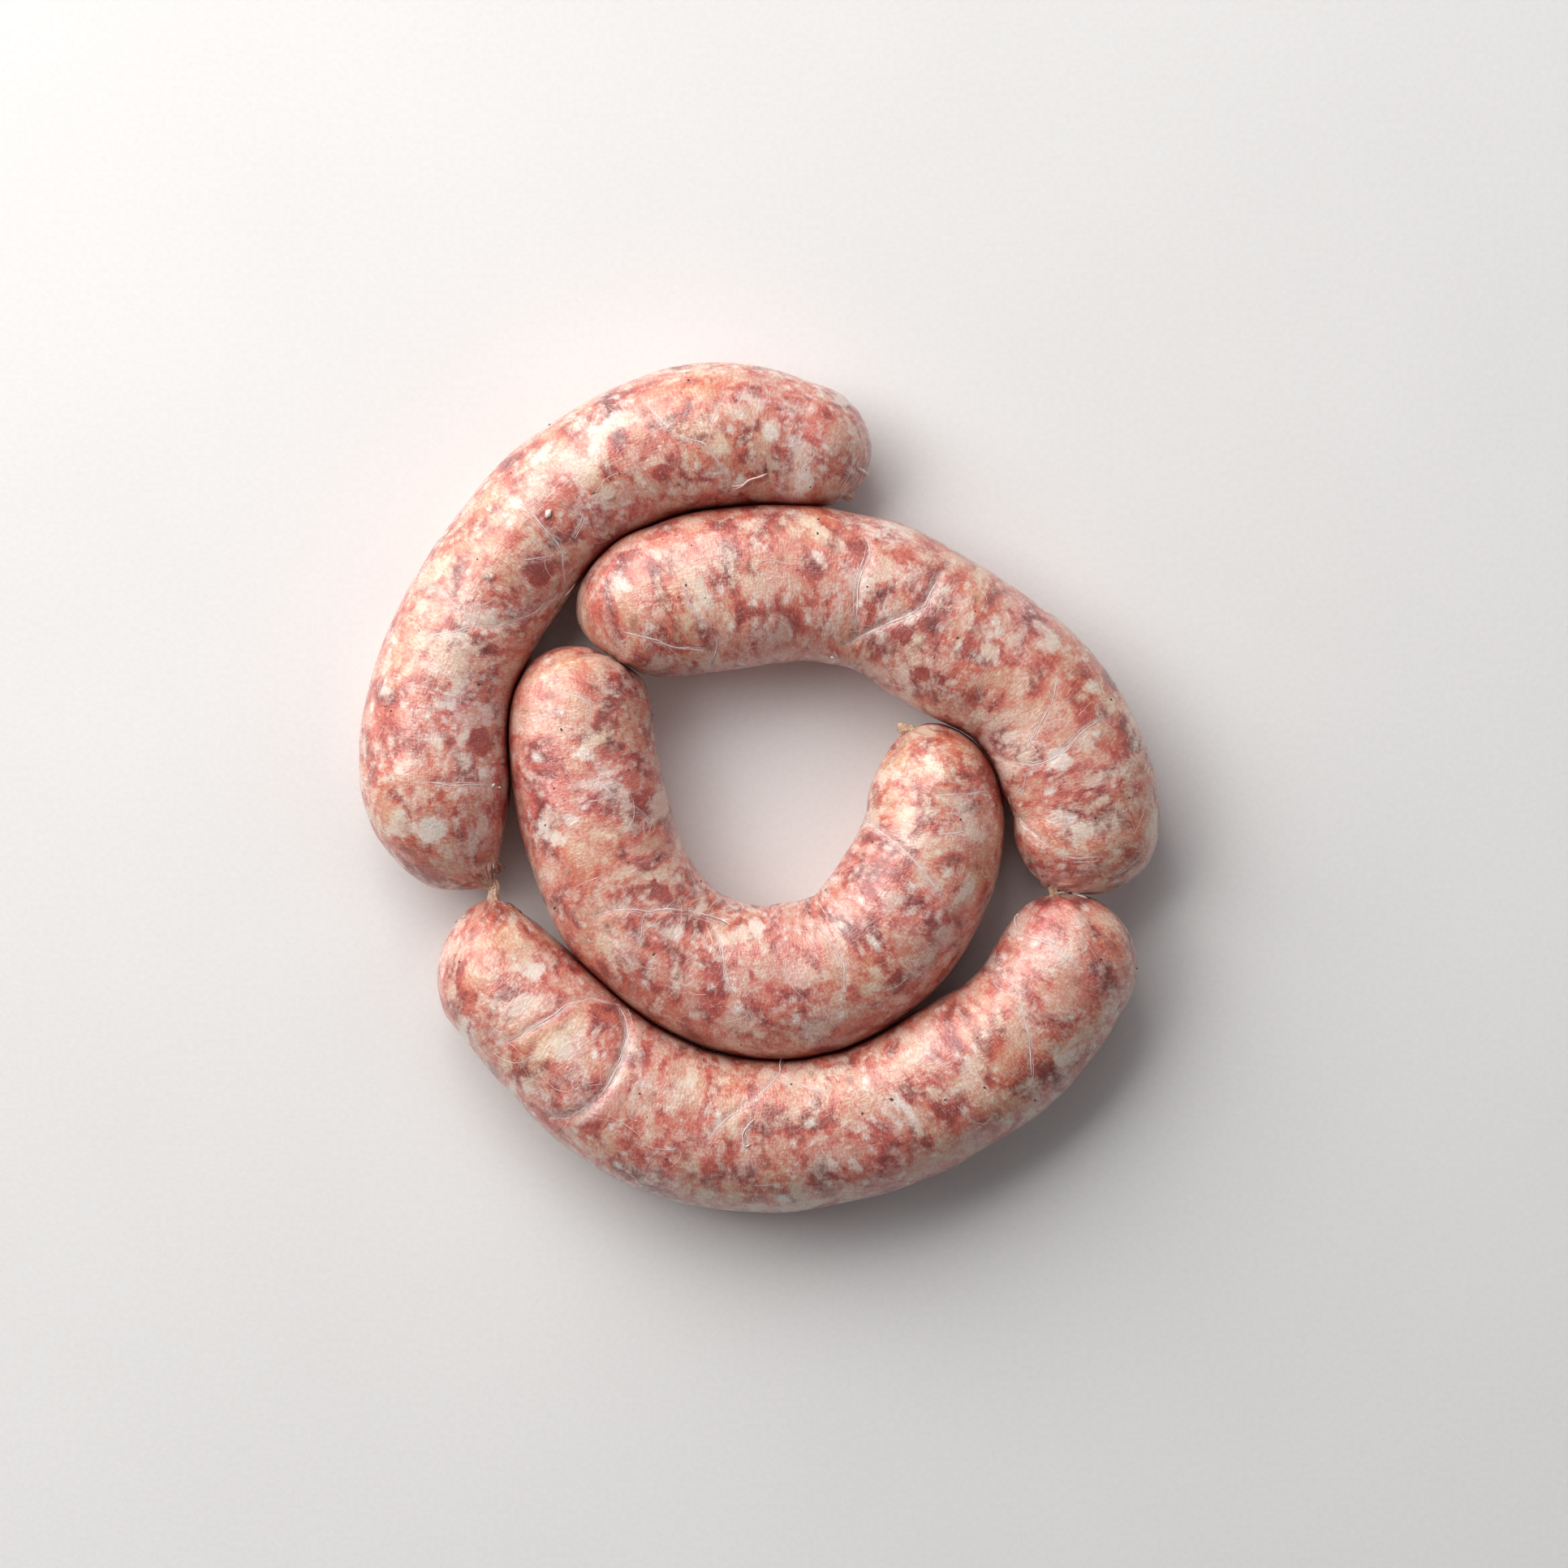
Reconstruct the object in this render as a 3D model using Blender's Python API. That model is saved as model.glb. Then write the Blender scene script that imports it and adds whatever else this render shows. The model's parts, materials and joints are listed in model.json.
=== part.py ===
"""A string of four raw pork sausage links in one natural casing, coiled flat on a surface.

Seen from above, the string runs anticlockwise from its outer free end to its inner one:
end_outer, link_outer, twist_1, link_lower, twist_2, link_right, twist_3, link_inner, end_inner.
Each filled link is a solid, and so are the twisted necks of empty casing between the links and
the cut-off casing at the two free ends.

The origin is on the surface, under the middle of the coil. +X is to the right, +Y away and +Z up.
Lengths are in millimetres up to the point where a vertex is written, which is in metres.
"""

import math

import bmesh
import bpy
import numpy as np
from mathutils.bvhtree import BVHTree

MM = 0.001

# Section of a link: a circle that sags a little and rests on a flat strip.
SAG = 0.97  # height of a section over its width
REST_DEPTH = 0.05  # share of a section's half height that the surface presses flat
CONTACT_GAP = 0.5  # clearance between two links that press against each other
MOST_PRESS = 3.0  # how deep a neighbour is looked for
JOINT_GAP = 0.3  # clearance between a link and the neck of casing that it ends in

# Each link's axis is a smooth curve through its (x, y, half width) points, from the middle of one
# end cap to the middle of the other. Each cap is then given by
#   reach      its length beyond the end of the axis,
#   bluntness  2 for half an ellipsoid, less for a pointed cap, more for a square one,
#   tie        where the casing is tied, (x, y, z),
#   draw       how far over the cap the tie draws the casing, in degrees from the tie.
LINKS = {
    "link_outer": {
        "axis": (
            (8.5, 76.2, 14.1),
            (-9.5, 78.0, 15.8),
            (-25.4, 74.6, 15.6),
            (-41.3, 65.7, 15.3),
            (-54.5, 52.0, 15.1),
            (-64.5, 36.0, 15.6),
            (-70.6, 19.5, 16.2),
            (-72.1, 3.0, 16.8),
        ),
        "start": {"reach": 16.8, "bluntness": 1.9, "tie": (19.2, 65.6, 7.5), "draw": 50},
        "finish": {"reach": 26.4, "bluntness": 1.85, "tie": (-59.4, -22.4, 14.0), "draw": 85},
    },
    "link_lower": {
        "axis": (
            (-57.5, -41.0, 12.6),
            (-46.6, -53.6, 15.8),
            (-33.0, -66.3, 16.8),
            (-15.5, -74.9, 17.2),
            (4.4, -77.1, 16.8),
            (23.0, -74.6, 16.2),
            (40.0, -67.2, 15.9),
            (55.7, -56.2, 16.4),
            (67.0, -41.5, 16.0),
        ),
        "start": {"reach": 16.8, "bluntness": 2.0, "tie": (-59.7, -25.2, 14.0), "draw": 60},
        "finish": {"reach": 18.4, "bluntness": 2.0, "tie": (66.1, -24.0, 14.5), "draw": 50},
    },
    "link_right": {
        "axis": (
            (72.4, -7.0, 16.4),
            (68.9, 6.0, 16.8),
            (58.5, 21.8, 16.5),
            (43.0, 32.2, 17.3),
            (27.0, 41.9, 16.9),
            (9.5, 45.4, 17.2),
            (-6.0, 43.4, 17.3),
            (-20.0, 41.0, 16.2),
        ),
        "start": {"reach": 16.9, "bluntness": 2.1, "tie": (66.2, -21.4, 14.5), "draw": 45},
        "finish": {"reach": 21.4, "bluntness": 1.8, "tie": (-32.0, 29.6, 14.0), "draw": 45},
    },
    "link_inner": {
        "axis": (
            (-40.3, 14.5, 16.3),
            (-37.8, -2.5, 16.9),
            (-31.0, -22.2, 16.7),
            (-17.5, -37.4, 16.4),
            (2.5, -43.3, 17.1),
            (21.0, -38.0, 16.3),
            (34.0, -22.5, 17.0),
            (38.4, -5.0, 15.8),
        ),
        "start": {"reach": 18.0, "bluntness": 2.0, "tie": (-33.9, 26.7, 14.0), "draw": 45},
        "finish": {"reach": 19.4, "bluntness": 1.95, "tie": (34.2, 14.6, 15.0), "draw": 50},
    },
}
DRAW_POWER = 2.2  # how suddenly the casing is drawn to the tie

# Necks of empty casing: between two links, or a loose end (dx, dy, dz) out from a link's tie.
TWISTS = {
    "twist_1": ("link_outer", "link_lower"),
    "twist_2": ("link_lower", "link_right"),
    "twist_3": ("link_right", "link_inner"),
}
LOOSE_ENDS = {
    "end_outer": ("link_outer", -1, (1.4, -1.4, -1.2)),
    "end_inner": ("link_inner", 1, (-4.2, 2.0, -0.6)),
}
TIE_RADIUS = 1.7  # of the small flat that a link ends in at a tie
NECK_RADIUS = 1.1
NECK_WAIST = 0.75  # radius at the middle of a neck over that at its ends
NECK_TURN = 2.4  # twist of the casing along a neck, in radians

# Pleats of gathered casing round each tie
PLEATS = 6
FOLD_DEPTH = 0.17  # depth of the neck's folds over its radius
PLEAT_HEIGHT = 0.45  # highest point of a pleat above the cap
PLEAT_SPREAD = math.radians(16)  # angle from the tie at which a pleat is highest
PLEAT_TURN = 0.9  # turn of a pleat round the tie, in radians

# Mesh fineness
SEGMENTS = 24
RINGS = 40
CAP_RINGS = 9
AXIS_SAMPLES = 400
NECK_RINGS = 6

MEAT_COLOUR = (0.50, 0.26, 0.20, 1.0)
CASING_COLOUR = (0.70, 0.48, 0.32, 1.0)
MOIST_ROUGHNESS = 0.28
DRY_ROUGHNESS = 0.45


def clear_scene():
    for found in list(bpy.data.objects):
        bpy.data.objects.remove(found)


def principled(name, colour, roughness):
    made = bpy.data.materials.new(name)
    made.use_nodes = True
    shader = made.node_tree.nodes["Principled BSDF"]
    shader.inputs["Base Color"].default_value = colour
    shader.inputs["Roughness"].default_value = roughness
    return made


def smooth_through(points, samples):
    """A Catmull-Rom curve through the points, sampled at even steps of its parameter."""
    knots = np.array(points, float)
    first = 3 * knots[0] - 3 * knots[1] + knots[2]
    last = 3 * knots[-1] - 3 * knots[-2] + knots[-3]
    knots = np.vstack([first, knots, last])
    place = np.linspace(0, len(points) - 1, samples)
    span = np.minimum(place.astype(int), len(points) - 2)
    t = (place - span)[:, None]
    a, b, c, d = (knots[span + k] for k in range(4))
    square = 2 * a - 5 * b + 4 * c - d
    cube = 3 * b - a - 3 * c + d
    return b + ((c - a) * t + square * t**2 + cube * t**3) / 2


def turned(vectors, toward, angles):
    """Unit vectors turned by the given angles, about the axis that takes +X towards a direction."""
    axis = np.cross((1.0, 0.0, 0.0), toward)
    axis /= np.linalg.norm(axis)
    cos, sin = np.cos(angles)[:, None], np.sin(angles)[:, None]
    along = (vectors @ axis)[:, None] * axis
    return vectors * cos + np.cross(axis, vectors) * sin + along * (1 - cos)


class Link:
    """A filled link: its axis, and how a place along it and a turn round it map to its skin.

    The place runs from -1 at the first tie to 0 where the first cap joins the body, then to 1
    where the body joins the last cap, and to 2 at the last tie. A turn of 0 faces the inside of
    the coil, and a turn of pi / 2 faces up.
    """

    def __init__(self, shape):
        curve = smooth_through(shape["axis"], AXIS_SAMPLES)
        steps = np.linalg.norm(np.diff(curve[:, :2], axis=0), axis=1)
        reached = np.concatenate([[0], np.cumsum(steps)])
        self.share = reached / reached[-1]
        self.curve = curve
        self.forward = np.gradient(curve[:, :2], reached, axis=0)
        self.forward /= np.linalg.norm(self.forward, axis=1, keepdims=True)
        self.caps = {-1: shape["start"], 1: shape["finish"]}

    def body(self, share):
        """Middle, forward and inward directions and half width at shares of the axis."""
        x, y, swell = (np.interp(share, self.share, column) for column in self.curve.T)
        forward = np.column_stack([np.interp(share, self.share, c) for c in self.forward.T])
        forward = np.column_stack([forward, np.zeros(len(share))])
        inward = np.column_stack([-forward[:, 1], forward[:, 0], forward[:, 2]])
        middle = np.column_stack([x, y, SAG * swell * (1 - REST_DEPTH)])
        return middle, forward, inward, swell

    def cap_frame(self, side):
        """Base centre of a cap, its outward, inward and up directions, and its half axes."""
        at_end = self.body(np.array([0.0 if side < 0 else 1.0]))
        middle, forward, inward, swell = (value[0] for value in at_end)
        directions = np.array([forward * side, inward, (0, 0, 1)])
        return middle, directions, np.array([self.caps[side]["reach"], swell, SAG * swell])

    def tie(self, side):
        """The tie at a cap, and the direction in which the neck leaves it."""
        place = np.array(self.caps[side]["tie"])
        away = place - self.cap_frame(side)[0]
        return place, away / np.linalg.norm(away)

    def cap(self, side, from_tie, turn):
        """Skin of a cap: from_tie is 0 at the tie and pi / 2 where the cap joins the body.

        Each ring of a blunt dome slides off centre, so that the dome's pole faces the tie. The
        rings near the pole are then drawn in to the edge of the flat at the tie.
        """
        shape = self.caps[side]
        centre, directions, size = self.cap_frame(side)
        place, leaving = self.tie(side)
        leaving = directions @ leaving
        facing = directions @ (place - centre) / size
        facing /= np.linalg.norm(facing)
        slide = math.acos(facing[0]) * (1 - from_tie / (math.pi / 2))
        ring = np.column_stack([np.zeros(len(turn)), np.cos(turn), np.sin(turn)])
        unit = ring * np.sin(from_tie)[:, None] + np.array([1, 0, 0]) * np.cos(from_tie)[:, None]
        unit = turned(unit, facing, slide)
        power = 2 / shape["bluntness"]
        across = np.hypot(unit[:, 1], unit[:, 2])
        stretch = np.maximum(across, 1e-9) ** (power - 1)
        local = np.column_stack([
            np.sign(unit[:, 0]) * np.abs(unit[:, 0]) ** power,
            unit[:, 1] * stretch,
            unit[:, 2] * stretch,
        ])
        lift = from_tie / PLEAT_SPREAD
        folds = np.cos(PLEATS * (turn + PLEAT_TURN * np.exp(-lift)))
        pleat = PLEAT_HEIGHT * lift * np.exp(1 - lift) * folds
        local = local * size + unit * pleat[:, None]
        tilt = np.full(len(turn), math.acos(leaving[0]))
        neck_ring = turned(ring, leaving, tilt) * TIE_RADIUS
        skin = centre + local @ directions
        on_neck = place + neck_ring @ directions
        draw = np.clip(1 - from_tie / math.radians(shape["draw"]), 0, 1)[:, None] ** DRAW_POWER
        return skin * (1 - draw) + on_neck * draw

    def skin(self, place, turn):
        """Points on the skin, each at a place along the link and a turn round it."""
        middle, _, inward, swell = self.body(np.clip(place, 0, 1))
        points = middle + inward * (swell * np.cos(turn))[:, None]
        points[:, 2] += SAG * swell * np.sin(turn)
        for side, beyond in ((-1, -place), (1, place - 1)):
            on_cap = beyond > 0
            from_tie = (1 - beyond[on_cap]) * math.pi / 2
            points[on_cap] = self.cap(side, from_tie, turn[on_cap])
        return points


def link_mesh(name, link):
    """Carries a sphere onto a link, as it would lie with no neighbours."""
    ball = bmesh.new()
    bmesh.ops.create_uvsphere(ball, u_segments=SEGMENTS, v_segments=RINGS, radius=1.0)
    unit = np.array([vertex.co for vertex in ball.verts])
    ring = np.round((1 - np.arccos(np.clip(unit[:, 2], -1, 1)) / math.pi) * RINGS)
    turn = np.arctan2(unit[:, 1], unit[:, 0])
    points = link.skin(place_of_ring(ring), turn)
    points[ring == 0] = link.tie(-1)[0]
    points[ring == RINGS] = link.tie(1)[0]
    for vertex, point in zip(ball.verts, points):
        vertex.co = point
    mesh = bpy.data.meshes.new(name)
    ball.to_mesh(mesh)
    ball.free()
    return mesh


def place_of_ring(ring):
    """The place of each ring of the sphere along a link. Both outermost rings are at a tie."""
    first = (ring - 1) / CAP_RINGS - 1
    last = (ring - (RINGS - 1)) / CAP_RINGS + 2
    middle = (ring - 1 - CAP_RINGS) / (RINGS - 2 - 2 * CAP_RINGS)
    place = np.where(first < 0, first, np.where(last > 1, last, middle))
    return np.clip(place, -1, 2)


def press_together(meshes):
    """Where links touch, each gives way by half, and all are flat where they rest."""
    skins = {name: BVHTree.FromPolygons(*corners_and_faces(mesh)) for name, mesh in meshes.items()}
    for name, mesh in meshes.items():
        for vertex in mesh.vertices:
            for other, skin in skins.items():
                if other == name:
                    continue
                nearest, normal, _, _ = skin.find_nearest(vertex.co, MOST_PRESS)
                if nearest is None:
                    continue
                clear = (vertex.co - nearest).dot(normal)
                if clear < CONTACT_GAP:
                    vertex.co += normal * (CONTACT_GAP - clear) / 2
            vertex.co.z = max(vertex.co.z, 0.0)
            vertex.co *= MM


def corners_and_faces(mesh):
    corners = [vertex.co.copy() for vertex in mesh.vertices]
    return corners, [face.vertices[:] for face in mesh.polygons]


def pleated_outline():
    """The closed outline of gathered casing, one unit in radius, that each neck is swept from."""
    curve = bpy.data.curves.new("neck_outline", "CURVE")
    outline = curve.splines.new("POLY")
    outline.points.add(2 * PLEATS - 1)
    for k, point in enumerate(outline.points):
        turn = -math.pi * k / PLEATS
        radius = 1 + FOLD_DEPTH * (-1) ** k
        point.co = (radius * math.cos(turn), radius * math.sin(turn), 0, 1)
    outline.use_cyclic_u = True
    made = bpy.data.objects.new("neck_outline", curve)
    made.hide_render = True
    made.display_type = "WIRE"
    return made


def build_neck(name, route, waist, outline, material):
    """Sweeps the pleated outline along a route, with a waist and a twist."""
    curve = bpy.data.curves.new(name, "CURVE")
    curve.dimensions = "3D"
    curve.bevel_mode = "OBJECT"
    curve.bevel_object = outline
    curve.use_fill_caps = True
    spline = curve.splines.new("POLY")
    spline.points.add(len(route) - 1)
    for k, (point, place) in enumerate(zip(spline.points, route)):
        share = k / (len(route) - 1)
        point.co = (*(np.array(place) * MM), 1)
        point.radius = NECK_RADIUS * MM * (1 - (1 - waist) * math.sin(math.pi * share))
        point.tilt = NECK_TURN * share
    spline.use_smooth = True
    curve.materials.append(material)
    return bpy.data.objects.new(name, curve)


def bowed(start, leave, finish, arrive):
    """A route between two ties that leaves one and arrives at the other along their directions."""
    pull = np.linalg.norm(finish - start) / 2
    share = (1 - np.cos(np.linspace(0, math.pi, NECK_RINGS)))[:, None] / 2
    a, b, c, d = start, start + leave * pull, finish - arrive * pull, finish
    rest = 1 - share
    return a * rest**3 + 3 * b * rest**2 * share + 3 * c * rest * share**2 + d * share**3


def build():
    clear_scene()
    string = bpy.data.collections.new("string_of_sausage_links")
    guides = bpy.data.collections.new("guides")
    for collection in (string, guides):
        bpy.context.scene.collection.children.link(collection)
    meat = principled("raw_sausage", MEAT_COLOUR, MOIST_ROUGHNESS)
    casing = principled("empty_casing", CASING_COLOUR, DRY_ROUGHNESS)

    links = {name: Link(shape) for name, shape in LINKS.items()}
    meshes = {name: link_mesh(name, link) for name, link in links.items()}
    press_together(meshes)
    for name, mesh in meshes.items():
        mesh.materials.append(meat)
        mesh.shade_smooth()
        string.objects.link(bpy.data.objects.new(name, mesh))

    outline = pleated_outline()
    guides.objects.link(outline)
    for name, (before, after) in TWISTS.items():
        start, leave = links[before].tie(1)
        finish, back = links[after].tie(-1)
        route = bowed(start + leave * JOINT_GAP, leave, finish + back * JOINT_GAP, -back)
        string.objects.link(build_neck(name, route, NECK_WAIST, outline, casing))
    for name, (link, side, reach) in LOOSE_ENDS.items():
        start, leave = links[link].tie(side)
        root = start + leave * JOINT_GAP
        route = bowed(root, leave, root + np.array(reach), np.array(reach) / np.linalg.norm(reach))
        string.objects.link(build_neck(name, route, NECK_WAIST, outline, casing))


build()
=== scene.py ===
import json
import math

import bmesh
import bpy
import numpy as np
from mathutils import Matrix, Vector
from mathutils.bvhtree import BVHTree

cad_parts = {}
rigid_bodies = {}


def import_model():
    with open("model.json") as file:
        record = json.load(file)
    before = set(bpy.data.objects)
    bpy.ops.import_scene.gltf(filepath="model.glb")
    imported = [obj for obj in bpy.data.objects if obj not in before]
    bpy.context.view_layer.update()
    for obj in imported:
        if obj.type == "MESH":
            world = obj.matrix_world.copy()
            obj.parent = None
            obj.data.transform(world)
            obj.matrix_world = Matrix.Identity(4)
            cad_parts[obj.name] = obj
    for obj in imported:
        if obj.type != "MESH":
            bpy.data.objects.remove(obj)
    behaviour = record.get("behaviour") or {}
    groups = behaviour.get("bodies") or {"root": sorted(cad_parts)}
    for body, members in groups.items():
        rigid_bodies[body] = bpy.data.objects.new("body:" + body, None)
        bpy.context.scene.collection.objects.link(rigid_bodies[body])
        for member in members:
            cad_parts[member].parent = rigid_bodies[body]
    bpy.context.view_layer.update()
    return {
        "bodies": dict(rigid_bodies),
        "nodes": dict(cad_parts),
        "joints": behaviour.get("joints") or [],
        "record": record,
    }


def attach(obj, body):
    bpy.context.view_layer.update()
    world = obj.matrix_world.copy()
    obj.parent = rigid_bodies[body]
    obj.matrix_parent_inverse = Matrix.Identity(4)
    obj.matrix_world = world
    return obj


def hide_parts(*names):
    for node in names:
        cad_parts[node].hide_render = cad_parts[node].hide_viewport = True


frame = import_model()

# Lengths are in millimetres until a mesh is made, which is in metres.
MM = 0.001
UP = np.array([0.0, 0.0, 1.0])

# The camera looks straight down, from high above, at the middle of the photographed view.
CAMERA_AT = np.array([5.3, 0.7, 1500.0])
VIEW_HEIGHT = 16.0  # height of the level at which the view is VIEW_WIDTH wide
VIEW_WIDTH = 347.8
SENSOR = 36.0

# ---------------- the links' form, within about 1 mm of the CAD's

SAG = 0.97  # height of a link for each unit of its width
REST_DEPTH = 0.05  # share of the half height that is flattened where a link rests
CONTACT_GAP = 0.16  # left between links that press on each other
# The painted shade in the crease between touching links fades over CREASE_WIDTH.
CREASE_WIDTH = 3.4
CREASE_REACH = 8.0  # how far from its neighbour a link is pressed by it and given painted shade
PRESS_SOFTNESS = 0.6  # distance over which a link starts to give way to its neighbour
TIE_RADIUS = 1.3
TIED_ANGLE = math.radians(24)  # this near to its tie a cap looks tied, and is pressed in less
CLEAR_ANGLE = math.radians(55)  # this near to its tie a cap gets less painted shade from its neighbours
FILLING_STEP = np.array([211.0, 37.0, 19.0])  # from one link's filling to the next, so all differ
TAPER = 2.2  # of a cap that doesn't name its own

# Each link runs along its axis of (x, y, half width), with a cap from each end of that to its tie.
# A cap's bluntness is 2 for half an ellipsoid and more for a blunter one. It is drawn in to its tie
# over an angle of draw degrees, the more sharply the higher its taper. Its gathers are the folds
# round the tie, at full height unless it names a share of that.
LINKS = {
    "link_outer": {
        "axis": (
            (8.5, 75.9, 14.6), (-9.5, 77.8, 16.4), (-25.3, 74.4, 16.1), (-41.3, 65.7, 15.3),
            (-54.5, 52.0, 15.1), (-64.5, 36.0, 15.6), (-70.6, 19.5, 16.2), (-72.1, 3.0, 16.8),
        ),
        "start": {"reach": 16.8, "bluntness": 1.9, "tie": (19.2, 65.6, 7.5), "draw": 50},
        "finish": {"reach": 26.4, "bluntness": 1.85, "tie": (-59.2, -22.4, 14.0), "draw": 85,
            "gather": 0.25},
    },
    "link_lower": {
        "axis": (
            (-58.7, -41.6, 14.5), (-46.6, -53.6, 15.8), (-33.0, -66.3, 16.8), (-15.5, -74.9, 17.2),
            (4.4, -76.9, 17.0), (22.9, -74.0, 17.0), (39.6, -66.5, 16.9), (55.7, -56.2, 16.4),
            (67.0, -41.5, 16.0),
        ),
        "start": {"reach": 16.6, "bluntness": 1.85, "tie": (-59.3, -24.6, 14.0), "draw": 90,
            "taper": 1.5, "gather": 0.6},
        "finish": {"reach": 18.2, "bluntness": 2.05, "tie": (65.6, -24.0, 14.5), "draw": 20},
    },
    "link_right": {
        "axis": (
            (72.4, -7.0, 16.4), (68.9, 6.0, 16.8), (58.5, 21.8, 16.5), (43.0, 32.2, 17.3),
            (27.0, 41.9, 16.9), (9.5, 45.4, 17.2), (-6.0, 44.3, 18.1), (-20.0, 41.7, 17.3),
        ),
        "start": {"reach": 16.5, "bluntness": 2.25, "tie": (65.2, -22.1, 14.5), "draw": 18},
        "finish": {"reach": 21.4, "bluntness": 1.8, "tie": (-32.0, 29.6, 14.0), "draw": 45},
    },
    "link_inner": {
        "axis": (
            (-40.3, 14.5, 16.3), (-37.8, -2.5, 16.9), (-31.0, -22.2, 16.7), (-17.5, -37.4, 16.4),
            (2.5, -43.4, 17.3), (21.2, -38.3, 17.0), (34.0, -22.5, 17.0), (38.9, -5.0, 15.4),
        ),
        "start": {"reach": 18.0, "bluntness": 2.0, "tie": (-33.9, 26.7, 14.0), "draw": 45},
        "finish": {"reach": 19.4, "bluntness": 1.9, "tie": (33.2, 12.6, 15.0), "draw": 22},
    },
}

# Above about LOW_TOP the links are a little flattened, which keeps them in the CAD's box
LOW_TOP = 31.0
TOP_SOFTNESS = 1.8
TOP_SINK = 0.42  # share of the height above that is taken away

# Mesh fineness
SPACING = 0.62
SEGMENTS = 168
CAP_RINGS = 44
AXIS_SAMPLES = 400

# Uneven filling under the casing: (span of a lump, its height)
LUMPS = ((15.0, 0.50), (6.5, 0.26), (2.8, 0.09))

# Coarse filling: lumps as (span of a cell, share of cells with one, largest radius)
FAT_LUMPS = ((4.8, 0.44, 1.70), (3.1, 0.55, 1.20), (2.0, 0.68, 0.92))
DARK_LUMPS = ((5.4, 0.38, 2.0), (3.0, 0.45, 1.2))
CLOUD_HEIGHT = 2.6  # depth in fat for each unit of noise above CLOUD_LEVEL
CLOUD_LEVEL = 0.20
GIRTH_STRETCH = {"link_outer": 0.95, "link_lower": 0.72, "link_right": 0.70, "link_inner": 0.80}

# Gathers round each tie: (number round the tie, height), how far they spread, and their twist
GATHERS = ((5, 0.22), (8, 0.20), (13, 0.13))
GATHER_SPREAD = math.radians(17)
GATHER_TURN = 0.9

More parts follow.
